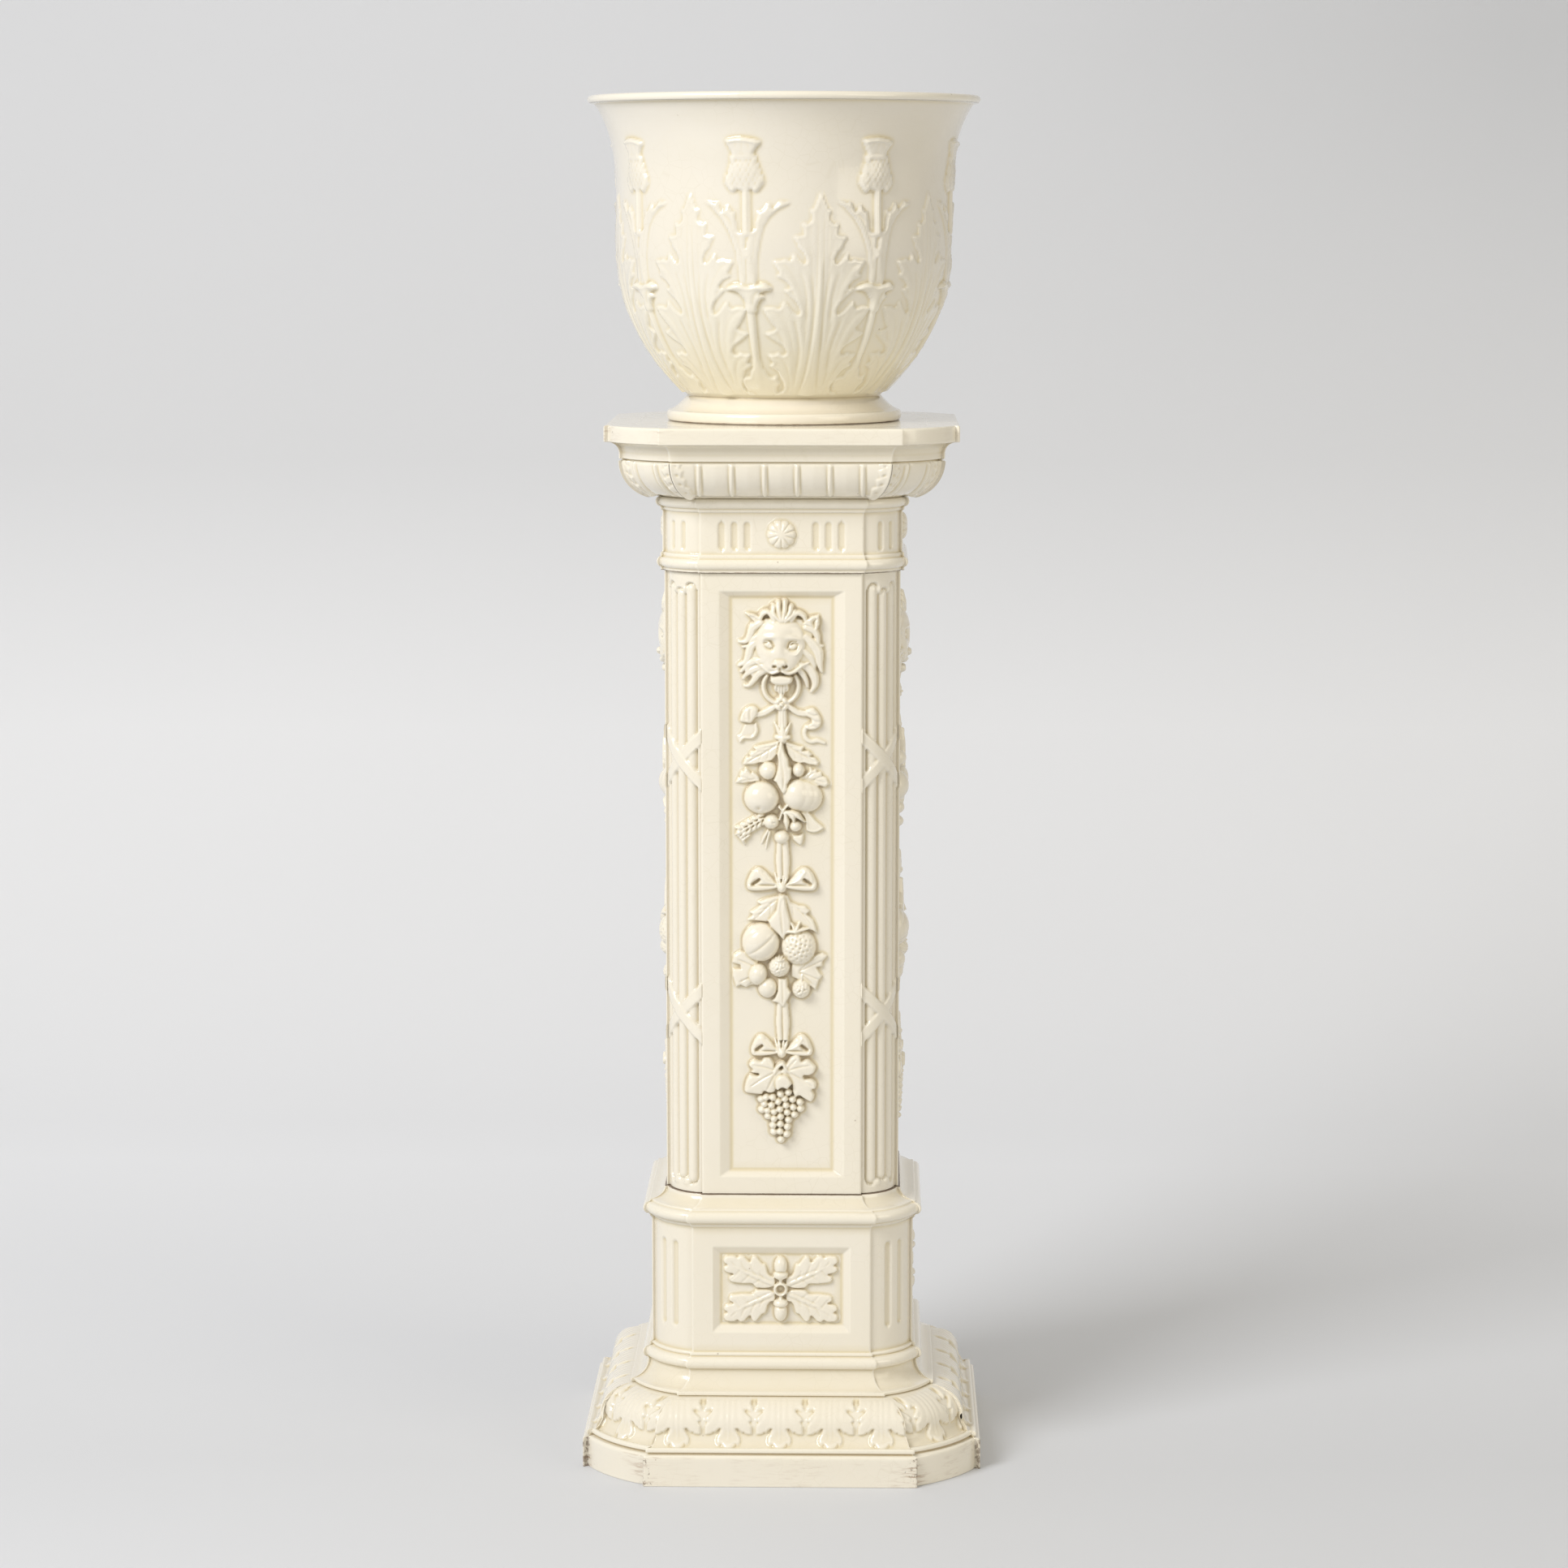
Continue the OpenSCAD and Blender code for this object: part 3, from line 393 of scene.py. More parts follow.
class Relief:
    """Heights of moulded ornament over its ground, on an even grid in millimetres"""

    AWAY = -9

    def __init__(self, x0, x1, y0, y1, step=0.5):
        self.step = step
        self.xs = np.arange(x0, x1 + step / 2, step)
        self.ys = np.arange(y0, y1 + step / 2, step)
        self.h = np.zeros((len(self.ys), len(self.xs)))

    def window(self, x0, x1, y0, y1):
        """The part of the grid between two places on each axis, with its own places"""
        i, j = (slice(*[int(np.clip(round((v - axis[0]) / self.step), 0, len(axis)))
                        for v in (low, high + self.step)])
                for axis, low, high in ((self.xs, x0, x1), (self.ys, y0, y1)))
        return (j, i), *np.meshgrid(self.xs[i], self.ys[j])

    def ellipse(self, x, y, rx, ry, turn, far):
        """Window round a turned ellipse, with the places along both its axes in radii"""
        where, gx, gy = self.window(x - far, x + far, y - far, y + far)
        c, s = cos(radians(turn)), sin(radians(turn))
        return where, ((gx - x) * c + (gy - y) * s) / rx, ((gy - y) * c - (gx - x) * s) / ry

    def join(self, where, inside, h, soft=0.4):
        self.h[where] = smooth_max(self.h[where], np.where(inside, h, self.AWAY), soft)

    def ball(self, x, y, rx, out, ry=None, turn=0, foot=1, soft=0.4, shape=None):
        """Rounded form, with its widest line at the height foot. shape(a, b) adds to its height."""
        ry = ry or rx
        where, a, b = self.ellipse(x, y, rx, ry, turn, max(rx, ry))
        q = a * a + b * b
        dome = np.sqrt(held(1 - q))
        h = foot + (out - foot) * dome
        if shape:
            h = h + shape(a, b) * dome
        self.join(where, q < 1, h, soft)

    def along(self, path, margin):
        """Share along a path and signed distance from it, over the window that holds both"""
        lo, hi = path.min(0) - margin, path.max(0) + margin
        where, gx, gy = self.window(lo[0], hi[0], lo[1], hi[1])
        lengths = np.hypot(*np.diff(path, axis=0).T)
        total, done = lengths.sum(), 0
        best = np.full(gx.shape, 1e9)
        share_along, off = np.zeros_like(gx), np.zeros_like(gx)
        for p, q, n in zip(path[:-1], path[1:], lengths):
            d = (q - p) / n
            t = np.clip((gx - p[0]) * d[0] + (gy - p[1]) * d[1], 0, n)
            dx, dy = gx - p[0] - t * d[0], gy - p[1] - t * d[1]
            dist = np.hypot(dx, dy)
            near = dist < best
            best = np.where(near, dist, best)
            share_along = np.where(near, (done + t) / total, share_along)
            off = np.where(near, np.sign(d[0] * dy - d[1] * dx) * dist, off)
            done += n
        return where, share_along, off, total

    def stroke(self, points, widths, outs, soft=0.4, flat=2.0, foot=0, groove=0, grooves=1, steps=6):
        """Rounded or flattened bar along a path. grooves is how many furrows run along it."""
        path = curve(points, steps)
        half = np.max(widths) / 2
        where, s, d, _ = self.along(path, half + 1)
        w = np.maximum(spread(widths, s) / 2, 0.05)
        u = np.abs(d) / w
        h = foot + (spread(outs, s) - foot) * held(1 - u ** flat) ** (1 / flat)
        if groove:
            h = h - groove * (0.5 + 0.5 * np.cos(pi * (1 - d / w) * grooves)) * (u < 0.95)
        self.join(where, u < 1, h, soft)

    def carve(self, points, width, depth, steps=6):
        """Groove along a path"""
        where, s, d, _ = self.along(curve(points, steps), 2 * np.max(width))
        w = spread(width, s) / 2
        end = held(np.minimum(s, 1 - s) * 8)
        self.h[where] = np.maximum(self.h[where] - spread(depth, s) * end * bell(d, w), 0)

    def outline(self, points, smooth=True):
        """Inside test and distance to a closed outline"""
        path = curve(list(points) + [points[0]], 4) if smooth else np.array(list(points) + [points[0]], float)
        lo, hi = path.min(0) - 1, path.max(0) + 1
        where, gx, gy = self.window(lo[0], hi[0], lo[1], hi[1])
        inside = np.zeros(gx.shape, bool)
        best = np.full(gx.shape, 1e9)
        for p, q in zip(path[:-1], path[1:]):
            n = hypot(*(q - p))
            if n == 0:
                continue
            if q[1] != p[1]:
                at = (q[0] - p[0]) * (gy - p[1]) / (q[1] - p[1]) + p[0]
                inside ^= ((p[1] > gy) != (q[1] > gy)) & (gx < at)
            t = held(((gx - p[0]) * (q[0] - p[0]) + (gy - p[1]) * (q[1] - p[1])) / n ** 2)
            best = np.minimum(best, np.hypot(gx - p[0] - t * (q[0] - p[0]), gy - p[1] - t * (q[1] - p[1])))
        return where, gx, gy, inside, best

    def plate(self, points, out, edge=1.5, soft=0.3, swell=0, smooth=True, curl=0):
        """Flat form with a rounded rim inside a closed outline. curl raises a thin line along its edge."""
        where, _, _, inside, best = self.outline(points, smooth)
        rim = 1 - held(best / edge)
        h = out * np.sqrt(1 - rim ** 2) + swell * (1 - np.exp(-best / 4)) + curl * bell(best - edge, 0.8)
        self.join(where, inside, h, soft)

    def leaf(self, points, out, edge=1.2, **finish):
        """Plate with the sharp points of its outline kept"""
        self.plate(points, out, edge, smooth=False, **finish)

    def ridge(self, points, widths, lift, soft=0.5):
        """Soft ridge or, with a negative lift, soft furrow laid over what is there already"""
        where, s, d, _ = self.along(curve(points), np.max(widths))
        u = held(1 - (d / np.maximum(spread(widths, s) / 2, 0.05)) ** 2) ** soft
        there = self.h[where] > 0.3
        self.h[where] += spread(lift, s) * u * held(np.minimum(s, 1 - s) * 10) * there

    def ridges(self, lines, x=0, sides=(-1, 1)):
        """Ridges given as points, widths and lift, on both sides of x"""
        for side in sides:
            for points, widths, lift in lines:
                self.ridge([(x + side * a, b) for a, b in points], widths, lift)

    def bulge(self, x, y, rx, ry, lift, turn=0):
        """Soft swelling or, with a negative lift, soft hollow laid over what is there already"""
        where, a, b = self.ellipse(x, y, rx, ry, turn, 2.2 * max(rx, ry))
        self.h[where] += lift * np.exp(-a * a - b * b) * (self.h[where] > 0.3)

    def soften(self, reach):
        self.h = blurred(self.h, reach / self.step)
        return self

    def glazed(self, reach=1.8):
        """Adds the map of how deep the glaze pools"""
        self.pool = np.clip((blurred(self.h, reach / self.step) - self.h) / 1.1, -1, 1)
        return self

    def read(self, x, y):
        """Heights and pooling at places on the map, and nothing outside it"""
        u, v = (x - self.xs[0]) / self.step, (y - self.ys[0]) / self.step
        inside = (u >= 0) & (u < len(self.xs) - 1) & (v >= 0) & (v < len(self.ys) - 1)
        i = np.clip(u, 0, len(self.xs) - 2).astype(int)
        j = np.clip(v, 0, len(self.ys) - 2).astype(int)
        a, b = held(u - i), held(v - j)
        return [np.where(inside, (m[j, i] * (1 - a) + m[j, i + 1] * a) * (1 - b)
                         + (m[j + 1, i] * (1 - a) + m[j + 1, i + 1] * a) * b, 0) for m in (self.h, self.pool)]


def mirrored(right, x=0):
    """Closed outline round x from its right half"""
    return [(x + a, b) for a, b in right] + [(x - a, b) for a, b in right[:0:-1]]


def vein(x0, y0, x1, y1, rise=0.5, width=1.6, lift=-0.45):
    """Vein between two ends, bowed upwards, as the points, width and lift of a ridge"""
    return [(x0, y0), ((x0 + x1) / 2, (y0 + y1) / 2 + rise), (x1, y1)], width, lift


# ---- Skins ----

def corners_of(cells):
    """Values at the four corners of each cell of a grid, anticlockwise"""
    return [cells[:-1, :-1], cells[:-1, 1:], cells[1:, 1:], cells[1:, :-1]]


def turned(points, side):
    """Points turned by a quarter turn for each side"""
    x, y = points[..., 0], points[..., 1]
    x, y = ((x, y), (-y, x), (-x, -y), (y, -x))[side % 4]
    return np.stack([x, y, points[..., 2]], -1)


def placed(scene, name, data):
    """New object in the scene"""
    thing = bpy.data.objects.new(name, data)
    scene.collection.objects.link(thing)
    return thing


class Skin:
    """Mesh gathered from grids, with how deep the glaze pools, and its dirt together with the shadow painted
    along joints
    """

    def __init__(self):
        self.points, self.quads, self.pool, self.soil, self.count = [], [], [], [], 0

    def add(self, points, quads, pool, soil=0):
        self.points.append(points.reshape(-1, 3))
        self.quads.append(quads + self.count)
        for values, kept in ((pool, self.pool), (soil, self.soil)):
            kept.append(np.broadcast_to(values, points.shape[:-1]).ravel())
        self.count += points.size // 3

    def grid(self, points, pool, soil=0, sides=range(4), wrap=False):
        """Grid whose rows rise and whose columns run anticlockwise, once for each side"""
        n, m = points.shape[:2]
        index = np.arange(n * m).reshape(n, m)
        if wrap:
            index = np.hstack([index, index[:, :1]])
        quads = np.stack(corners_of(index), -1).reshape(-1, 4)
        for side in sides:
            self.add(turned(points, side), quads, pool, soil)

    def build(self, scene, name, glaze_name, body, nodes, slot):
        points = np.concatenate(self.points) * MM
        quads = np.concatenate(self.quads)
        mesh = bpy.data.meshes.new(name)
        mesh.vertices.add(len(points))
        mesh.vertices.foreach_set("co", points.astype(np.float32).ravel())
        mesh.loops.add(quads.size)
        mesh.loops.foreach_set("vertex_index", quads.astype(np.int32).ravel())
        mesh.polygons.add(len(quads))
        mesh.polygons.foreach_set("loop_start", np.arange(0, quads.size, 4, dtype=np.int32))
        mesh.polygons.foreach_set("use_smooth", np.ones(len(quads), bool))
        mesh.update(calc_edges=True)
        for key, values in (("pool", self.pool), ("soil", self.soil)):
            layer = mesh.attributes.new(key, "FLOAT", "POINT")
            layer.data.foreach_set("value", np.concatenate(values).astype(np.float32))
        piece = placed(scene, name, mesh)
        mesh.materials.append(glaze(scene, glaze_name))
        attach(piece, body)
        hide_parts(*nodes)
        return piece


def round_the_stand(skin, stand, rows, face_step=12, corner_step=6, face=None, corner=None, soil=0, dense=(),
                    sides=("face", "corner"), shrink=1.0, seams=()):
    """Takes rows of a section round the plan. face and corner give heights and pooling over a face in
    millimetres from its middle, and round a corner in millimetres of arc from its middle. shrink draws each
    row in towards the axis. seams are heights of dry joints, along which a line of painted shadow is laid."""
    w, z, out_w, out_z, pool = (rows[:, k:k + 1] for k in range(5))
    inwards = np.stack([shrink + 0 * w, shrink + 0 * w, 1 + 0 * w], -1)
    middle = float(np.median(w))
    # painted shadow: a line along each dry joint, laid over the dirt that gathers near the arrises
    joint_shadow = 5 * sum(np.exp(-((z - seam) / 0.6) ** 4) for seam in seams)
    wear_and_shade = lambda edge: soil * (0.25 + 2 * np.exp(-edge / 6)) + joint_shadow
    if "face" in sides:
        half = stand.face_share * middle
        at = places(half, face_step, dense) / half
        x = stand.face_share * w * at[None, :]
        edge = stand.face_share * w * (1 - np.abs(at))
        rise, wet = face(x, z + 0 * x) if face else (0 * x, 0 * x)
        drop = 0.9 * held(1 - edge / 1.6) ** 2 * out_w
        points = np.stack([x, -(w + rise * out_w - drop), z + rise * out_z + 0 * x], -1)
        arris = -0.7 * bell(edge, 0.9)
        skin.grid(points * inwards, np.clip(pool + wet + arris, -1, 1), wear_and_shade(edge))
    if "corner" in sides:
        start, r, angle = stand.corner_start(w), stand.corner_r(w), stand.corner_half_angle(w)
        half = float(np.median(angle * r))
        at = places(half, corner_step) / half
        arc = at[None, :] * angle * r
        turn = at[None, :] * angle - pi / 4
        edge = half * (1 - np.abs(at))[None, :]
        rise, wet = corner(arc, z + 0 * arc) if corner else (0 * arc, 0 * arc)
        reach = r + rise * out_w
        ring = np.stack([stand.axis + reach * np.cos(turn), reach * np.sin(turn) - stand.axis,
                         z + rise * out_z], -1)
        lip = w - 0.9 * out_w
        shares = np.array([0, 0.3, 0.65])[None, :]
        lift = rise[:, :1] * out_w
        first = np.stack([stand.face_share * (w + (start - w) * shares) + lift * np.cos(turn[:, :1]),
                          lift * np.sin(turn[:, :1]) - (lip + (start - lip) * shares),
                          z + rise[:, :1] * out_z + 0 * shares], -1)
        last = np.stack([-first[..., 1], -first[..., 0], first[..., 2]], -1)[:, ::-1]
        points = np.concatenate([first, ring, last], 1)
        fold = np.concatenate([np.array([-0.4, 0, 0.1]), 0.12 * bell(edge[0], 1.3),
                               np.array([0.1, 0, -0.4])])[None, :]
        wet = np.pad(wet, ((0, 0), (3, 3)))
        shade = wear_and_shade(np.pad(edge[0], 3)[None, :]) + 0 * z
        skin.grid(points * inwards, np.clip(pool + wet + fold, -1, 1), shade)


def sunk_panel(half, z0, z1, bevel, end_bevel, depth):
    """Heights over a face with a bevelled sunk panel"""
    def shape(x, z):
        side, end = half - np.abs(x), np.minimum(z - z0, z1 - z)
        fall = held(np.minimum(side / bevel, end / end_bevel))
        rim, floor_rim = np.minimum(side, end), np.minimum(side - bevel, end - end_bevel)
        wet = 0.75 * bell(floor_rim, 1.5) - 0.6 * bell(rim, 0.9)
        return -depth * fall, wet
    return shape


def laid_on(relief, w, strength=1.0, fillet=0.2):
    """Points, quads and pooling of a relief on a front face at w, trimmed to its ornament"""
    base = relief.h * strength
    h = smooth_max(base, fillet * blurred(base, 1.6 / relief.step), 0.3)
    kept = blurred((base > 0.15).astype(float), 1.1 / relief.step) > 0.02
    n, m = h.shape
    quads = np.stack(corners_of(np.arange(n * m).reshape(n, m)), -1)[np.any(corners_of(kept), 0)]
    used = np.unique(quads)
    place = np.zeros(n * m, int)
    place[used] = np.arange(len(used))
    x, z = np.meshgrid(relief.xs, relief.ys)
    points = np.stack([x, -(w + np.where(kept, h, -0.4)), z], -1).reshape(-1, 3)[used]
    pool = np.clip((blurred(h, 1.7 / relief.step) - h) / 1.3, -1, 1) * kept
    return points, place[quads], pool.ravel()[used]


def build_reliefs(scene, relief, w, name, body, strength=1.0):
    """Lays one sprig on all four sides, each a piece of its own"""
    points, quads, pool = laid_on(relief, w, strength)
    for side, word in enumerate(SIDES):
        skin = Skin()
        skin.add(turned(points, side), quads, pool)
        skin.build(scene, f"{name}_{word}_glazed", "sprig_cream_glaze", body, [f"{name}_{word}"],
                   "sprig_glaze")


# ---- Base ----

def base_section(s):
    lip_w, hollow_w, edge_r = s.plinth_w - 3.2, s.plinth_w - 14.5, 2.5
    neck_w, ledge_w = s.die_w + 3.7, s.shaft_w + s.base_ledge
    hollow_z, rim_z = s.band_z + 0.4 * s.leaf_band_h, s.scotia_z + 3.6
    return Section({
        "plinth": [(s.plinth_w, 0), (s.plinth_w, s.plinth_h - edge_r)]
        + quarter((s.plinth_w, s.plinth_h - edge_r), (s.plinth_w - edge_r, s.plinth_h), False)
        + [(lip_w - 2, s.plinth_h), (lip_w - 2, s.plinth_h + 1.8), (lip_w, s.plinth_h + 1.8),
           (lip_w, s.plinth_h + 4.5)],
        "leaves": [(lip_w - 1.5, s.band_z)] + quarter((lip_w - 1.5, s.band_z), (hollow_w, hollow_z), True)
        + quarter((hollow_w, hollow_z), (s.scotia_foot_w, s.scotia_z), False),
        "scotia": [(s.scotia_foot_w - 1.5, s.scotia_z), (s.scotia_foot_w - 1.5, s.scotia_z + 0.8),
                   (s.scotia_foot_w, s.scotia_z + 0.8), (s.scotia_foot_w, rim_z)]
        + quarter((s.scotia_foot_w, rim_z), (neck_w, s.foot_bead_z - 1.6), True)
        + bead(neck_w, s.foot_bead_z, s.base_bead_h, 4.2)
        + [(s.die_w + 1.5, s.foot_bead_z + s.base_bead_h + 0.8),
           (s.die_w + 2.5, s.foot_bead_z + s.base_bead_h + 1.4), (s.die_w + 2.5, s.die_z - 0.8)],
        "die": [(s.die_w, s.die_z), (s.die_w, s.die_top_z)],
        "cap": [(s.die_w + 2, s.die_top_z + 1.8), (s.die_w + 2, s.cap_bead_z - 0.6)]
        + bead(s.die_w + 3, s.cap_bead_z, s.base_bead_h, 4.2)
        + [(s.die_w + 2, s.base_top_z + 0.6), (s.die_w + 2, s.base_top_z + 2)]
        + quarter((s.die_w + 2, s.base_top_z + 2), (ledge_w, s.shaft_z), True),
        "inside": s.collar(s.shaft_z)
        + [(s.die_w - s.wall, s.shaft_z - 2.2 * s.collar_h), (s.die_w - s.wall, s.scotia_z - s.wall / 3),
           (s.plinth_w - 2.4 * s.wall, s.scotia_z - 1.5 * s.wall),
           (s.plinth_w - 1.35 * s.wall, s.plinth_h + s.plinth_lip_h / 2), (s.plinth_w - s.wall, 0)],
    }, s.arris_r)


def band_leaf(r, x, depth, top):
    """Broad leaf hanging down the band, with a lobed tip and toothed sides"""
    right = [(0, 32.2), (3.2, 32.6), (5.2, 33.9), (6.2, 34.9), (7.4, 33.8), (9.2, 34.6), (10.1, 36.8),
             (9.6, 39.4), (8, 41.4), (6.8, 43.6), (6.3, 45.8), (7.8, 46), (9.6, 44.2), (11.6, 42),
             (12.7, 43.2), (13.6, 41.9), (16, 41.2), (19.5, 41), (19.7, 44), (19.3, 48), (18, 50.2),
             (17.6, 51.8), (19, 52.4), (19.5, 53.8), (18.4, 55.6), (15.6, 57.6), (13.7, 59.5), (13.7, 60.8),
             (15, 61.3), (19.9, 60.2), (20.1, 63.2), (18.9, 64), (18.9, 66), (21.8, 66.2), (21.8, top)]
    r.leaf(mirrored(right, x), depth, edge=0.9, soft=0.1)
    r.ridges([([(1.9, top), (2, 56), (1.6, 42), (2.6, 36)], [2, 2.2, 2, 1.6], -0.2),
              ([(5, top), (4.6, 56), (4, 44), (6.4, 37)], [2.4, 2.8, 2.4, 2], 0.12),
              ([(7.4, top), (7.4, 58), (8.8, 51), (13, 45)], [2, 2.4, 2.4, 2], -0.18),
              ([(10.2, top), (10.2, 61), (12, 54), (16.4, 47)], [2.4, 2.8, 2.8, 2], 0.12),
              ([(12.4, 66), (12.6, 60), (14, 55.6), (17, 50.4)], [1.6, 2, 2, 1.4], -0.15)], x)
    r.ridge([(x, top), (x, 52), (x, 38), (x, 33)], [2.4, 2.8, 2, 1], 0.2)


def leaf_band(stand):
    r = Relief(-125, 125, 27, 72, 0.4)
    for i in range(-3, 4):
        band_leaf(r, i * stand.leaf_pitch - 0.8, stand.leaf_depth, 72)
    return r.soften(0.4).glazed(1.2)


def flutes(xs, z0, z1, width, depth):
    """Upright grooves with round ends, as heights below the ground"""
    r = Relief(min(xs) - 8, max(xs) + 8, z0 - 6, z1 + 6)
    for x in xs:
        r.stroke([(x, z0 + width / 2), (x, (z0 + z1) / 2), (x, z1 - width / 2)], width, depth, soft=0.1,
                 flat=2.4)
    r.soften(0.35)
    r.h = -r.h
    return r.glazed()


def build_base(scene):
    s = Stand(scene)
    section, skin = base_section(s), Skin()
    plinth = section.rows("plinth", 4)
    round_the_stand(skin, s, plinth, soil=1.25 * (plinth[:, 1:2] < s.plinth_h - 1))
    leaves = leaf_band(s)

    def foliage(x, z):
        rise, wet = leaves.read(x, z)
        fade = held((s.scotia_z - z) / 1.5) * held((z - s.band_z) / 0.8)
        return (rise - s.leaf_depth) * fade, 2 * wet * np.sqrt(np.abs(wet))

    round_the_stand(skin, s, section.rows("leaves", 0.85), 1.05, 1.05, foliage, foliage)
    round_the_stand(skin, s, section.rows("scotia", 4))
    half, z0, z1 = s.face_share * s.die_w - 17.5, s.die_z + 16.7, s.die_top_z - 16.7
    panel = sunk_panel(half, z0, z1, 7.5, 7.5, s.panel_depth)
    dense = [(z1 - 9.5 - s.die_z - s.die_h / 2, s.die_h / 2 - 15.5, 0.9)]
    heights = places(s.die_h / 2, 6, dense) + s.die_z + s.die_h / 2
    round_the_stand(skin, s, section.rows_at("die", heights), 8, face=panel,
                    dense=[(half - 9, half + 1.6, 0.8)], sides=("face",))
    grooves = flutes([-7.1, 7.1], s.die_z + 19.5, s.die_z + 93.5, 6.2, 2)
    round_the_stand(skin, s, section.rows("die", 1.5), corner_step=0.9, corner=grooves.read,
                    sides=("corner",))
    round_the_stand(skin, s, section.rows("cap", 4), seams=[s.shaft_z])
    round_the_stand(skin, s, section.rows("inside", 12), 40, 8)
    skin.build(scene, "base_glazed", "stand_cream_glaze", "base", ["base"], "stand_glaze")


def oak_relief():
    """Four oak leaves round a ring, with two acorns"""
    r = Relief(-50, 50, 122, 187, 0.45)
    mid_x, mid = -0.7, 154.2
    lobes = [(4.4, 3.6), (4.4, 8.6), (6.5, 11), (8.6, 11.4), (10.7, 14), (11.8, 18), (13.2, 21.2),
             (15.6, 22), (18.6, 25.8), (20.6, 28.2), (23, 28.4), (24.6, 26.4), (25.8, 23.4), (28.8, 25.8),
             (30.8, 28.2), (34.2, 28.8), (36.6, 27.2), (39, 28.4), (43, 28.6), (46.6, 27.8), (48.2, 25.2),
             (47.6, 22.4), (45.2, 20.5), (47.6, 18.4), (47.6, 15.8), (44.8, 13.8), (40, 12.6), (43, 10.6),
             (43.4, 7.8), (41.5, 5.8), (37, 5), (31, 4.4), (27, 4.6), (24, 4.2), (22, 2.2), (20, 0.9),
             (13, 0.5), (7, 1.6)]
    for sx in (-1, 1):
        for sy in (-1, 1):
            at = lambda x, y: (mid_x + sx * x, mid + sy * y)
            r.plate([at(x, y) for x, y in lobes], 3.3, edge=1.1, swell=0.7, soft=0.1)
            r.ridge([at(5, 3.2), at(17, 9), at(31, 15), at(44, 23.4)], [3, 2.6, 2.2, 1.4],
                    [0.5, 0.4, 0.3, 0.2])
            for side in (-1, 1):
                r.ridge([at(6, 4 + 2.4 * side), at(18, 9.4 + 2.6 * side), at(31, 15.4 + 2.2 * side)], 2.2,
                        -0.4)
            for t, side, reach in ((0.22, 1, 9), (0.4, 1, 11), (0.6, 1, 10), (0.8, 1, 6), (0.3, -1, 6),
                                   (0.52, -1, 9), (0.72, -1, 10)):
                x, y = 4 + 41 * t, 3 + 19.6 * t
                r.ridge([at(x, y), at(x + 3.4 + 1.5 * (side < 0), y + side * reach * 0.55),
                         at(x + 4.6 + 4.4 * (side < 0), y + side * reach)], [2, 2.4, 1.6],
                        [-0.3, -0.45, -0.3])
    for sy in (-1, 1):
        r.ball(mid_x, mid + sy * 19.6, 5.6, 7.8, ry=8.6, foot=1.5, soft=0.1)
        r.ball(mid_x, mid + sy * 12.4, 6.3, 8.2, ry=4.6, foot=2, soft=0.1)
        r.ridge([(mid_x - 6, mid + sy * 14.4), (mid_x, mid + sy * 15.4), (mid_x + 6, mid + sy * 14.4)], 1.8,
                -1.2)
        r.stroke([(mid_x, mid + sy * 5), (mid_x, mid + sy * 9)], [3.4, 4.6], [4.6, 6])
    ring = [(mid_x + 4.7 * cos(a), mid + 4.7 * sin(a)) for a in np.linspace(0, 2 * pi, 25)]
    r.stroke(ring, 3.2, 6.6, soft=0.1, steps=2)
    where, gx, gz = r.window(-6, 6, mid - 6, mid + 6)
    far = np.hypot(gx - mid_x, gz - mid)
    r.h[where] = np.where(far < 3.4, 1.2, np.where(far > 6.4, np.minimum(r.h[where], 3.4 + 9 * (far - 6.4)),
                                                   r.h[where]))
    return r.soften(0.35)


# ---- Shaft ----

def shaft_section(s):
    top = s.shaft_z + s.shaft_h
    return Section({
        "wall": [(s.shaft_w, s.shaft_z), (s.shaft_w, top)],
        "collar": s.collar(top) + [(s.shaft_in, top - 2.2 * s.collar_h), (s.shaft_in, s.shaft_z)],
    }, s.arris_r)


# heights of the two crossings of ribbons, over the shaft's height
CROSSINGS = (0.293, 0.702)


def reeded_corner(s):
    """Three reeds in a sunk field between plain fillets, with crossed ribbons, as heights over the field"""
    r = Relief(-27, 27, s.shaft_z - 2, s.shaft_z + s.shaft_h + 2)
    pitch = 2 * np.arcsin(1.02 * s.reed_r / (s.shaft_corner_r - s.reed_r)) * s.shaft_corner_r
    half = 1.5 * pitch + 0.7
    gx, gz = np.meshgrid(r.xs, r.ys)
    top, foot = s.shaft_z + s.shaft_h, s.shaft_z
    number = np.clip(np.round(gx / pitch), -1, 1)
    off = np.abs(gx - number * pitch) / (pitch / 2)
    arch = top - 8.6 - 4.6 * (number == 0) - 5.5 * (1 - np.sqrt(held(1 - off ** 2)))
    sole = foot + 6.8 + 2.8 * (number == 0) + 4.6 * (1 - np.sqrt(held(1 - off ** 2)))
    field = (np.abs(gx) < half) & (gz < arch) & (gz > sole)
    r.h = np.where(field, 0, s.reed_depth)
    for i in (-1, 0, 1):
        x, end = i * pitch, top - 9.6 - 4.6 * (i == 0)
        r.stroke([(x, foot + 12.6 + 2.6 * (i == 0)), (x, foot + 120), (x, end - 60), (x, end - 4.6)],
                 pitch * 0.93, s.reed_depth, soft=0.1, steps=2)
    for i in (-0.5, 0.5):
        r.ball(i * pitch, top - 14, 2.7, s.reed_depth + 0.7, ry=4.4, soft=0.3)
    for i in (-0.5, 0.5):
        r.ball(i * pitch, foot + 8, 4.4, s.reed_depth + 0.9, ry=4, soft=0.6, foot=3)
    # thin line on both sides, beside the plain fillet
    r.h -= 0.6 * bell(np.abs(gx) - half - 3.4, 0.6)
    for crossing in CROSSINGS:
        z = foot + crossing * s.shaft_h
        for lean in (-1, 1):
            r.stroke([(-24 * lean, z - 22), (0, z), (24 * lean, z + 22)], s.ribbon_w,
                     s.reed_depth + 1 + 0.6 * (lean < 0), soft=0.1, flat=9)
    r.soften(0.35).glazed()
    return r


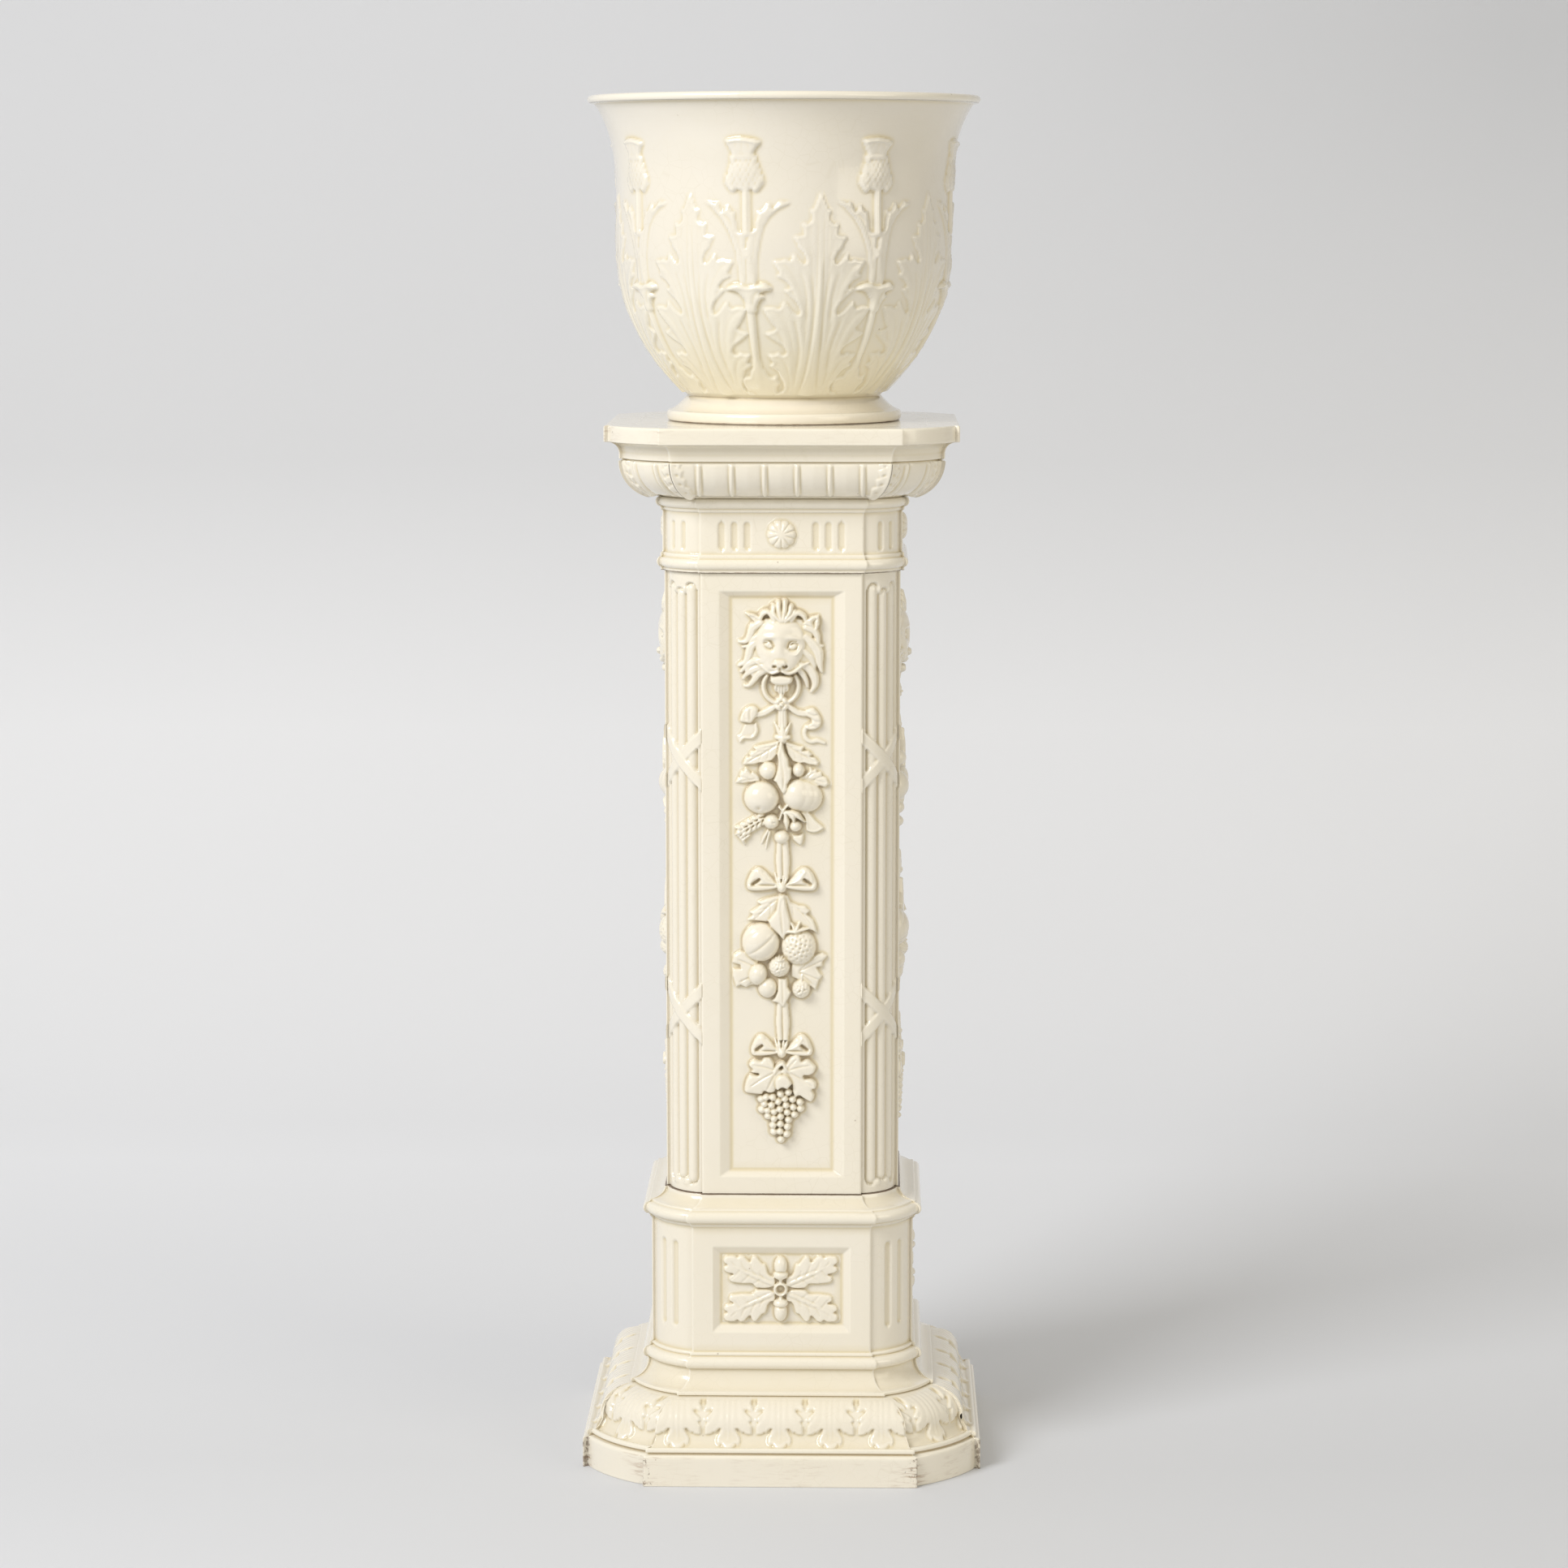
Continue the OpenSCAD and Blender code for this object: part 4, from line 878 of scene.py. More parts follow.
def build_shaft(scene):
    s = Stand(scene)
    section, skin = shaft_section(s), Skin()
    middle = s.shaft_z + s.shaft_h / 2
    half = s.face_share * s.shaft_w - s.panel_border
    end = s.shaft_h / 2 - s.panel_end_border
    panel = sunk_panel(half, middle - end, middle + end, s.panel_bevel, s.panel_end_bevel, s.panel_depth)

    def face(x, z):
        fall, wet = panel(x, z)
        return fall, wet + 0.45 * np.exp(-(z - s.shaft_z) / 2.5)

    joints = (s.shaft_z, s.shaft_z + s.shaft_h)
    heights = places(s.shaft_h / 2, 9, [(end - s.panel_end_bevel - 2, end + 1.6, 0.8)]) + middle
    round_the_stand(skin, s, section.rows_at("wall", heights), 9, face=face,
                    dense=[(half - s.panel_bevel - 2, half + 1.6, 0.8)], sides=("face",), seams=joints)
    reeds = reeded_corner(s)

    def corner(arc, z):
        rise, wet = reeds.read(arc, z)
        return rise - s.reed_depth, 0.4 * wet

    ribbons = [crossing * s.shaft_h - s.shaft_h / 2 for crossing in CROSSINGS]
    dense = [(s.shaft_h / 2 - 26, s.shaft_h / 2 - 2, 0.9), (s.shaft_h / 2 - 24, s.shaft_h / 2 - 2, 0.9)]
    marks = [places(s.shaft_h / 2, 7, dense)] + [np.arange(z - 33, z + 33.5, 1.0) for z in ribbons]
    heights = np.unique(np.round(np.concatenate(marks), 1)) + middle
    keep = np.concatenate([[True], np.diff(heights) > 0.25])
    round_the_stand(skin, s, section.rows_at("wall", heights[keep]), corner_step=0.72, corner=corner,
                    sides=("corner",), seams=joints)
    round_the_stand(skin, s, section.rows("collar", 14), 40, 8)
    skin.build(scene, "shaft_glazed", "stand_cream_glaze", "shaft", ["shaft"], "stand_glaze")


def spiral(count):
    """Spots spread evenly over a round fruit, each with its share of the radius and its angle"""
    golden_turn = 2.399963
    return [(sqrt((i + 0.5) / count), i * golden_turn) for i in range(count)]


def berry_bumps(count, depth):
    """Bumps in a spiral over a round berry"""
    spots, size = spiral(count), 1.15 / sqrt(count)

    def shape(a, b):
        h = np.zeros_like(a)
        for far, angle in spots:
            gap = (a - far * cos(angle)) ** 2 + (b - far * sin(angle)) ** 2
            h = np.maximum(h, np.sqrt(held(1 - gap / size ** 2)))
        return depth * h
    return shape


def seed_pits(count, depth):
    """Small pits in a spiral over a strawberry"""
    def shape(a, b):
        return -depth * sum(np.exp(-((a - far * cos(angle)) ** 2 + (b - far * sin(angle)) ** 2) / 0.005)
                            for far, angle in spiral(count))
    return shape


def melon_ribs(a, b):
    """Furrows between the segments of a melon that lies on the slant"""
    turn = radians(38)
    across = b * cos(turn) - a * sin(turn)
    longitude = np.arctan2(across, np.sqrt(np.clip(1 - a * a - b * b, 0.001, 1)))
    return -1.6 * (1 - np.abs(np.sin(longitude * 3.4 + 0.5))) ** 3


def lion_mane(r):
    """Mane of curling locks on a low plate, and the ears"""
    r.plate([(-14, 722), (-19, 717), (-24, 712), (-26, 704), (-23, 698), (-26, 690), (-30, 684), (-31, 677),
             (-26, 674), (-24, 670), (-19, 673), (-12, 679), (12, 679), (18, 678), (24, 672), (28, 680),
             (29, 690), (26, 700), (26, 710), (20, 716), (14, 722)], 4.4, edge=2, swell=1)
    locks = [
        ([(-17, 718), (-23.5, 713.6), (-26, 707.4), (-29.5, 702.4), (-35, 701.8)], [6, 8, 7, 5, 2.4]),
        ([(-19, 708), (-24, 703), (-27, 699), (-32, 697.6)], [5, 6, 4, 2.4]),
        ([(-19, 703), (-25, 698), (-27, 691), (-30, 685), (-35.4, 682)], [6, 8, 8, 5.4, 2.4]),
        ([(-16, 687), (-24, 685), (-30, 681), (-33.6, 677)], [7, 7, 5, 2.6]),
        ([(-14, 682), (-22, 679.4), (-29, 675), (-31.6, 671.4)], [7, 7, 5.4, 2.6]),
        ([(-13, 679), (-19, 675.4), (-23.4, 669.6), (-27, 665.6), (-30.4, 665)], [7, 7, 6, 4.4, 2.6]),
        ([(20, 714), (26.4, 711.4), (29.4, 706), (30.6, 700), (33.6, 698.4)], [6, 7, 6, 4, 2.6]),
        ([(20, 706), (26, 699.6), (30, 693), (31, 685), (33, 677)], [7, 9.4, 9.6, 7, 2.4]),
        ([(19, 694), (24, 689), (26.6, 683), (27, 677)], [6, 7, 5.6, 2.4]),
        ([(16, 683), (23, 679.6), (27, 672.4), (27.4, 666), (24.6, 660.4)], [7, 8.6, 8.4, 6, 2.4]),
        ([(13, 681), (17, 676), (20, 670.4), (21.4, 664.4)], [6, 6.4, 5, 2.4]),
    ]
    for points, widths in locks:
        r.stroke(points, widths, [7.4, 7.2, 6.4, 5.2, 3.8], soft=0.3, groove=0.4, grooves=2, flat=2.4)
    # ears
    r.leaf([(-30.4, 725.8), (-24, 725.4), (-18.4, 723.2), (-16.8, 720.4), (-19.4, 716.4), (-23, 718.6),
            (-26.4, 722)], 6.6, edge=1.6)
    r.carve([(-27, 723.8), (-22.4, 721.6), (-19.6, 719)], [1.8, 3, 2], [1.6, 2.4, 1.6])
    r.leaf([(31, 724.6), (25, 723.4), (19.6, 720.4), (16.6, 716), (21, 715.4), (25, 714), (28.8, 709.6),
            (31.4, 716.6)], 7, edge=1.6)
    r.carve([(29.6, 722), (26.6, 718.4), (28, 712.4)], [1.8, 3.2, 2], [2, 3, 2])


def lion_head(r):
    """Head that stands clear of the mane, with its crown of hair, brows, eyes and muzzle"""
    for points in ([(-6, 720), (-10.6, 726.4), (-15.4, 725.4), (-18.4, 719)],
                   [(8, 720), (12.4, 725.8), (18, 723.6), (21, 717)]):
        r.stroke(points, [5, 5.4, 5, 3], [9.4, 9.2, 8.2, 6.6], soft=0.6, groove=0.5, grooves=2)
    r.ball(-1, 701, 21, 11.4, ry=22.4, foot=4.6, soft=0.8)
    for bump in ((-7, 713, 8, 6, 1.5), (4.4, 713, 8, 6, 1.5), (-13, 690, 7, 7, 2), (11.6, 690, 7, 7, 2)):
        r.bulge(*bump)
    for points in ([(-1, 719), (-6.6, 725.4), (-6.6, 731.4)], [(3, 719), (8.6, 723.6), (10.6, 727)],
                   [(2.4, 720), (6.4, 726), (7.6, 731.4)], [(0, 720), (-2.4, 728), (-2.6, 734.6)],
                   [(1, 719), (2.4, 728), (2.6, 735.6)]):
        r.stroke(points, [4, 5.8, 5], [10.8, 10.6, 8.4], soft=0.2)
    for y, wide, lift in ((706, 4.4, 1.2), (700, 4.6, 1.8), (693, 5.4, 2)):
        r.bulge(-1.5, y, wide, 5, lift)
    # brows and eyes
    for x, y, turn in ((-9.4, 706.4, 8), (9, 705.4, -8)):
        r.bulge(x, y, 6, 2.4, 2, turn)
        r.bulge(x * 1.06, y - 6.8, 5, 3.4, -1.8, -3 * turn)
    for inner, top, outer, low, ball in [
            ((-6.6, 697), (-10, 702), (-15, 703.2), (-11.6, 697.2), (-10.2, 699.4)),
            ((5.4, 695.8), (8, 701.6), (14, 701.8), (10.6, 695.4), (9.4, 698.4))]:
        r.carve([inner, top, outer], [3.4, 5.2, 3], [2.6, 3, 1.2])
        r.carve([inner, low, outer], [2.4, 3, 2], [1.4, 1.6, 0.6])
        r.ball(*ball, 3.6, 11.3, ry=2.2, turn=-24 if ball[0] < 0 else 20, foot=8, soft=0.2)
        r.carve([(ball[0] - 0.6, ball[1] + 1), (ball[0] + 0.6, ball[1] - 0.8)], 1.8, 0.8)
        r.stroke([inner, top, outer], [0.8, 1.4, 0.8], [10.2, 11.6, 10])
    r.stroke([(6, 692.4), (12, 691.6), (16, 696)], [2, 3.4, 2], [11.6, 12, 10.6], soft=1.4)
    # muzzle, nose and the folds that sweep out from the mouth
    r.ball(-1.5, 686, 16.5, 12, ry=11, foot=4.6, soft=4)
    for x in (-8, 5):
        r.bulge(x, 680.4, 6, 4, 1.6)
    r.stroke([(-3, 678), (-9, 676.4), (-14, 680), (-20, 684.6), (-25, 687.6)], [5, 5, 4, 3, 1],
             [12.4, 11, 9.6, 8.4, 6.6], soft=2.6)
    r.stroke([(1, 678), (6, 676), (12, 678.6), (17, 682.4), (22.6, 684.6)], [5, 5.6, 5, 4.4, 1.6],
             [12.8, 12, 11, 10, 8], soft=0.6)
    r.plate([(-8.2, 685.6), (-5, 688.6), (2.4, 688.6), (5.2, 685.6), (4.6, 681.6), (-1.6, 679.4),
             (-7.6, 681.6)], 14.8, edge=3, swell=0.6, soft=1.6)
    r.carve([(-7.4, 682.8), (-5.6, 682), (-4, 683)], 2.2, 4.4)
    r.carve([(0.4, 682.8), (2.6, 681.6), (4.8, 683)], 2.4, 4.6)
    r.carve([(-1.4, 681.4), (-1.4, 678.6), (-1.2, 675.8)], 1.4, 2)


def lion_ring(r):
    """Ring in the lion's mouth, under the lower jaw with its tuft of beard"""
    ring = [(-0.6 + 14.6 * cos(a), 665 + 14.6 * sin(a)) for a in np.linspace(0, 2 * pi, 25)]
    r.stroke(ring, 4.2, 5.4, soft=0.3, steps=2)
    for x, tip, w in ((-5, 660, 3.6), (4.6, 660, 3.6), (-2.4, 657, 3.8), (2.2, 657, 3.8), (-0.2, 655.4, 3.6)):
        r.stroke([(x * 0.8, 668), (x, 662), (x * 0.6, tip)], [w, w, 0.8], [7, 6, 4], soft=0.3)
    r.plate([(-9.6, 673.8), (-2, 675), (8.6, 673.6), (8.8, 668), (4, 665.8), (-5, 665.8), (-9.6, 668.6)],
            10, edge=2.6, swell=0.6)
    r.carve([(-13, 677.6), (-9.4, 674.6), (-5, 674.4), (-1, 675.8), (3, 674.4), (8, 674.2), (13, 676.2)],
            [1.4, 1.8, 1.8, 1.6, 1.8, 1.8, 1.4], 4.2)


def ring_ribbon(r):
    """Ribbon knotted on the ring, with its broad turned ends and the sheathed stem"""
    for points, out in (([(-3, 650), (-9, 645.6), (-15.6, 642), (-21.4, 641)], 3.4),
                        ([(3.6, 650), (9, 645.4), (14.4, 642.4), (22, 641.8)], 3.6)):
        r.stroke(points, [4, 4.6, 5, 4.6], [5, 4.2, 3.6, out], flat=4, groove=0.35, grooves=2)
    r.plate([(-19.6, 645.8), (-22.4, 647.8), (-26, 648), (-31, 645), (-34, 639.6), (-34.4, 635.4),
             (-31, 634.4), (-25.6, 634), (-23, 637), (-20.4, 640.6)], 4.6, edge=1.4, swell=1.2)
    for points in ([(-25.6, 646.6), (-26.6, 641), (-25.4, 635.6)], [(-30, 643.4), (-31, 640), (-29.6, 636)]):
        r.ridge(points, 2.4, -0.9)
    r.plate([(-30.6, 633), (-22, 633), (-20.2, 627.6), (-22, 623), (-25.4, 620.6), (-31.6, 620.8),
             (-34.4, 617), (-36.8, 622.6), (-34, 625)], 1.7, edge=0.9)
    r.stroke([(-21.6, 633), (-21, 627), (-24.6, 621.9), (-31.6, 621.6), (-34.6, 618)],
             [2, 2.4, 2.4, 2.2, 1], 3, flat=3)
    r.plate([(19.8, 645), (25.6, 646.8), (30, 643), (32.8, 637), (32, 631.6), (27.6, 628.6), (21, 628.6),
             (19.6, 631.6), (24.4, 634), (24, 637.6), (20.6, 640)], 4.8, edge=1.4, swell=1)
    for points in ([(21.6, 643), (26.4, 640.6), (31.4, 641)], [(23.6, 638.4), (28, 635.6), (33, 635.4)],
                   [(22, 631), (27, 631.6), (31, 629.4)]):
        r.ridge(points, 2.2, -0.9)
    r.stroke([(20.4, 630.6), (18.8, 626), (20.4, 620.8), (24.6, 618.4), (29.6, 619.2), (35.4, 617.2)],
             [3.4, 3.6, 3.8, 3.8, 3.6, 2.8], [3, 2.8, 2.8, 2.8, 2.6, 2.4], flat=3, groove=0.3, grooves=2)
    r.stroke([(0.6, 650), (0.6, 642), (0.7, 632)], [6.5, 7.8, 8], [5, 4.6, 4.8], groove=0.8, grooves=3,
             flat=2.5)
    for s in (-1, 1):
        sheath = [(0.8 + s * 1.5, 622), (0.8 + s * 3.4, 628), (0.8 + s * 6.4, 634)]
        r.stroke(sheath, [4, 4, 0.8], [6, 5.4, 3.4], soft=0.3)
    r.stroke([(0.8, 620), (0.8, 626), (0.8, 634.5)], [8, 6.5, 1], [7, 6.4, 5], soft=0.3)
    r.stroke([(-3.8, 622.2), (0.8, 621.6), (5.4, 622.2)], [4.2, 4.6, 4.2], [5.4, 7.4, 5.4], soft=0.3, flat=3)
    for x, y, out, turn in ((-3, 652.4, 7, 50), (2.6, 652.8, 7, -50), (-3, 647.4, 7, -40),
                            (2.8, 647.4, 7, 40), (-0.3, 655, 6.4, 90)):
        r.ball(x, y, 3.8, out, ry=2.6, turn=turn, soft=0.1)
    r.ball(-0.2, 649.8, 2.2, 8.4, foot=2)


def lion_mask():
    """Lion's head with a ring in its mouth, and the knot of ribbon under it"""
    r = Relief(-42, 42, 600, 740, 0.55)
    for part in (lion_mane, lion_head, lion_ring, ring_ribbon):
        part(r)
    return r.soften(0.35)


def bow(r, y, reach, top):
    """Bow with two broad loops, a small opening in each, and folds that fan from its knot"""
    loop = [(0.085, 0.14), (0.27, 0.44), (0.47, 0.82), (0.66, 1), (0.85, 0.79), (0.95, 0.46), (1, 0.14),
            (0.95, -0.13), (0.75, -0.19), (0.41, -0.15), (0.14, -0.05)]
    for s in (-1, 1):
        at = lambda *points: [(s * reach * a, y + top * b) for a, b in points]
        r.plate(at(*loop), 5.4, edge=1.6, swell=1.6)
        r.carve(at((0.88, 0.12), (0.72, 0.28), (0.6, 0.46)), [1.6, 3.6, 2], 6)
        r.carve(at((0.9, 0.06), (0.6, 0.12), (0.3, 0.12), (0.12, 0.1)), [1.2, 1.8, 1.8, 1.2], 2.4)
        for points, lift in ((((0.14, 0.2), (0.36, 0.44), (0.56, 0.84)), -0.9),
                             (((0.12, 0.26), (0.3, 0.54), (0.46, 0.84)), 0.7),
                             (((0.2, 0.18), (0.5, 0.4), (0.7, 0.9)), 0.7),
                             (((0.8, 0.84), (0.9, 0.5), (0.93, 0.1)), -0.8)):
            r.ridge(at(*points), 2.2, lift)
    for x, far in ((-5.6, 11.5), (5, 12.5), (-2.6, 13.5), (1.8, 13.5)):
        r.stroke([(x * 0.3, y + 1), (x * 0.7, y + 6), (x, y + far)], [1.8, 3, 1], [6.4, 5.4, 2.6], soft=0.2)
    r.ball(0, y, 4.4, 8.6, ry=5, foot=0)
    r.ridge([(-2.6, y + 3), (-1, y), (-1.6, y - 4)], 1.4, -0.8)


def strap(r, y0, y1, x0=0.8):
    """Length of strap in two folds"""
    bulge = (y0 + y1) / 2
    r.stroke([(x0 - 2.4, y1), (x0 - 2.9, bulge), (x0 - 2.2, y0)], [4.8, 5.4, 4.6], 4.6, flat=3, soft=1)
    r.stroke([(x0 + 2, y1), (x0 + 2.8, bulge), (x0 + 2.4, y0)], [5.2, 6.2, 4.8], 4.4, flat=3, soft=1)


def wheat_ear(r):
    """Three rows of pointed grains that splay from the ear's line, beards at its end, and two stalks"""
    for i in range(5):
        for side in (-1, 1, 0):
            x = -16.4 - 4.3 * i + 1.9 * side - 2 * (side == 0)
            y = 553.4 - 2.6 * i - 3 * side - 1.2 * (side == 0)
            lean = radians(212 + 26 * side)
            dx, dy = 3.5 * cos(lean), 3.5 * sin(lean)
            r.stroke([(x - dx, y - dy), (x, y), (x + dx, y + dy)], [1.6, 4.2, 0.6], [4, 5.4, 2.6], soft=0.1)
    for i in range(4):
        x, y = -36 + 1.6 * i, 544.4 - 2.3 * i
        r.stroke([(x + 4, y + 2), (x - 0.8, y - 1.8), (x - 0.6 + 0.4 * i, y - 6)], [2, 2.8, 1],
                 [4.6, 4.2, 2.6], soft=0.1)
    for points in ([(-11.4, 543.6), (-14.4, 538), (-17, 532)], [(-10, 542.4), (-12, 535), (-13.2, 527.4)]):
        r.stroke(points, [2, 2.2, 0.6], [3.4, 2.8, 1.8], soft=0.2)


def upper_festoon():
    """Apples, nuts and wheat under a spray of leaves"""
    r = Relief(-42, 42, 503, 622, 0.55)
    strap(r, 503, 534)
    r.plate([(15, 559.4), (19.4, 553.7), (20, 546.8), (21.3, 543), (27.5, 541.8), (32.5, 543.7),
             (35, 546.2), (28.8, 551.9), (22.5, 559.4), (20, 561.2)], 3, edge=1.2, curl=0.7, swell=0.4)
    # leaves beside the nuts, and the large pair over them
    r.leaf([(-18, 588), (-20.6, 591), (-24.4, 593.2), (-25.4, 592), (-28.4, 595.8), (-30, 596.3),
            (-31.4, 593.6), (-33, 594), (-35, 590.6), (-34.8, 588.6), (-36.6, 587.4), (-38.3, 583.8),
            (-32.5, 583.2), (-23.8, 584.4), (-18, 585)], 3.2, swell=1)
    r.leaf([(14, 588.4), (18.6, 590.4), (22.5, 593.4), (23.8, 597), (26, 594.6), (28.8, 595.6), (29.4, 593),
            (33.1, 593.2), (33.6, 590), (37.5, 588), (39.6, 582.8), (36.3, 580), (31.3, 581.3), (28.8, 580),
            (22.5, 583.2), (14, 586)], 3.4, swell=1)
    large = (16, 587.4, 37, 584), (21, 587.6, 29, 593.6), (26, 586, 34.6, 589), (24, 586, 30.6, 582)
    r.ridges([vein(*ends, 0.8, 1.8, -0.7) for ends in large])
    r.leaf([(-1.5, 619.6), (-8.8, 617.4), (-18.8, 615.4), (-23.6, 613.4), (-21.6, 611.2), (-24.6, 610.4),
            (-27, 607.6), (-26, 606), (-29.4, 605.2), (-31.4, 602), (-32.2, 599), (-22.5, 599.2),
            (-18.8, 600.6), (-14.4, 600.6), (-8, 602.6), (-3.4, 608)], 4, swell=0.8, curl=0.4)
    r.leaf([(2, 619.6), (7.5, 617), (13.8, 614.8), (18.6, 614.2), (17.2, 611), (22.5, 610.6), (25.8, 607.4),
            (23.8, 606.3), (28, 604.8), (31, 601.3), (29.6, 598.4), (22.5, 599.2), (18.8, 600.6), (15, 600),
            (9, 602), (5, 608)], 4, swell=0.8, curl=0.4)
    r.ridges([([(3, 617), (12, 610.6), (22, 605), (29.4, 600.6)], [2.6, 2.2, 1.2], -0.9),
              vein(7, 614, 15.6, 613), vein(12, 610.6, 21.6, 609.4), vein(18, 607, 26, 604.6),
              vein(10, 611, 12, 604), vein(16, 608, 18.6, 602.4)])
    wheat_ear(r)
    dimple = lambda a, b: -2.2 * np.exp(-((a + 0.15) ** 2 + (b + 0.62) ** 2) / 0.02)
    r.ball(-8.8, 551.2, 6.6, 9.6, ry=6.4)
    r.ridge([(-8, 551.6), (-6.6, 550.6), (-5, 551)], 1.6, -1)
    r.ball(11.4, 547.6, 5.3, 9, ry=5)
    for points, out in (([(4, 560), (11, 558.4), (19.4, 551)], 10), ([(3.4, 560), (9, 556), (10.6, 549.6)],
                                                                     9.8), ([(3, 559), (4, 552),
                                                                             (4.4, 544)], 9)):
        r.stroke(points, [3.4, 6.8, 1], [8.6, out, out - 1.4], soft=0.15, groove=0.4)
    r.plate([(9, 539.6), (9.8, 535.6), (14.6, 531.6), (17.2, 532.8), (18.3, 541), (13.8, 539.8)], 3.8,
            edge=1.4, swell=0.8)
    r.ball(0, 538, 6.3, 9, ry=5.7)
    r.ball(21, 572, 13, 9.4, ry=13, soft=0.1)
    r.ball(17.6, 572.8, 13.6, 11.4, ry=13.4, soft=0.1)
    r.ball(-16.8, 571.4, 14.6, 13.2, ry=13.8, shape=dimple)
    r.ball(13.2, 573.8, 12.7, 13.2, ry=13.4)
    r.ball(-11.2, 594.2, 7.8, 11)
    r.ball(13.8, 594.6, 5.4, 9.6, ry=6)
    r.leaf([(-1.2, 619.6), (-2.5, 614.5), (-4, 608.2), (-3.2, 602), (-3.8, 595.7), (-5.2, 591), (-7.4, 586),
            (-4.8, 584.4), (-2.6, 580), (1.2, 573.8), (5.2, 578.2), (5.2, 583.2), (8.4, 588.2), (8.6, 597),
            (6.6, 598.6), (5.8, 604.4), (2.5, 611), (0.6, 619.6)], 9.6, edge=1.6, swell=1.4, soft=0.1)
    r.ridge([(-0.4, 618), (0, 604), (1.6, 590), (1.4, 577)], [2.6, 3, 2.6, 1], -0.9)
    for points in ([(-2, 564), (1.4, 559.6), (4, 553)], [(4.4, 565), (0.6, 560), (-1.6, 553)]):
        r.stroke(points, [3, 2.6, 2], [8.4, 8.4, 7], soft=0.3)
    return r.soften(0.35)


def lower_festoon():
    """Melon, strawberry and small fruit on vine leaves, hung from a bow"""
    r = Relief(-42, 42, 366, 514, 0.55)
    strap(r, 366, 396)
    r.leaf([(-20, 440), (-28, 440.8), (-34.4, 441.6), (-37.5, 440), (-40.6, 437.7), (-41.4, 431.4),
            (-35, 429.6), (-34.4, 426.6), (-41, 426.4), (-41.4, 420.5), (-38.3, 410.6), (-34.4, 412.4),
            (-30, 410.4), (-25, 412.7), (-18, 412)], 3.4, swell=1.4)
    r.leaf([(10, 440), (27.9, 438.6), (34.2, 440.4), (38.4, 437.6), (34.2, 432.2), (34, 428.6),
            (29.5, 427.6), (31.6, 423.7), (34, 420.5), (31, 415.9), (28.4, 408), (24.8, 411.2), (20, 414),
            (8, 420), (7.7, 427)], 3.4, swell=1.4)
    r.ridges([vein(14, 424, *tip, 0.6, 1.8, -0.8) for tip in ((38, 435), (36, 415), (29, 439), (29, 411))])
    r.leaf([(-1, 490), (-3.2, 488.6), (-12.6, 486.4), (-20.4, 483), (-17.4, 480.8), (-21, 477.6),
            (-26.4, 474.4), (-24.4, 472.4), (-28.6, 467.6), (-20.3, 467.2), (-13.3, 466.4), (-5, 468)], 3.8,
           swell=1)
    r.leaf([(1, 490), (4.6, 489), (7.7, 483.4), (13.9, 480.4), (19.4, 479.8), (23.6, 475.8), (21, 472.9),
            (26.2, 468.4), (28.4, 462.6), (29.6, 456.6), (25.6, 459), (20.2, 460), (8, 462)], 3.8, swell=1)
    for side, tip_y in ((-1, 466), (1, 463)):
        r.ridges([([(3, 487), (11, 480), (18, 473), (25.6, tip_y)], [2.6, 2.4, 1.2], -0.8),
                  vein(8, 482.6, 17, 481), vein(13, 478, 22, 475.4), vein(17, 474, 23.4, 470.6),
                  vein(9, 480, 10, 472)], sides=(side,))
    r.ball(-11.8, 410.2, 8, 9, ry=8.6)
    r.ball(-20, 421.8, 8, 10.6, ry=9.4, turn=-12)
    r.leaf([(-3.2, 419), (4.6, 419), (5.3, 411.2), (8.2, 406.5), (6.1, 401.8), (4.4, 398.6), (1.5, 393.4),
            (-2.6, 397.2), (-8.4, 399), (-5.6, 402.6), (-3.6, 408)], 6, edge=1.4, swell=1.2)
    r.ridge([(0.8, 418), (1, 408), (1.4, 396)], [2.4, 2.2, 1], -0.8)
    r.ball(16.3, 409.6, 7.6, 7.2, ry=8.2, shape=berry_bumps(26, 3), foot=2)
    r.stroke([(16.6, 416), (17.2, 422)], [1.8, 1.4], [7, 5])
    r.ball(-17.4, 449.2, 15.8, 14, ry=16.6, shape=melon_ribs)
    r.leaf([(-4.8, 477), (-11.8, 467.6), (-9.5, 462.6), (-3.2, 456.4), (1.5, 450.6), (3.9, 456), (8.4, 458),
            (8, 467.3), (5.4, 476.6), (2.6, 490), (-2.4, 490)], 8, edge=1.8, swell=2, soft=0.1)
    r.ridge([(0.4, 488), (-0.6, 476), (0.4, 464), (1.4, 454)], [2.8, 3, 2.6, 1], -0.9)
    r.ball(14.2, 445.4, 14.6, 13.4, ry=15.6, shape=seed_pits(46, 2.1), soft=0.1)
    for x, y in ((7.6, 466.6), (15.4, 466.6), (23, 461), (2, 458)):
        r.stroke([(11.6, 459), ((11.6 + x) / 2, (460.4 + y) / 2), (x, y)], [4, 4.2, 0.8], [12, 10.6, 9],
                 soft=0.2)
    r.ball(-2, 428.8, 9.2, 11, ry=9.4, shape=berry_bumps(42, 2.6))
    for a in np.radians(range(20, 200, 40)):
        r.stroke([(-1.6, 434.6), (-1.6 + 4.4 * cos(a), 434.6 + 3.6 * sin(a))], [3, 1], [13, 11.4], soft=0.2)
    bow(r, 495.8, 29.4, 16.8)
    return r.soften(0.35)


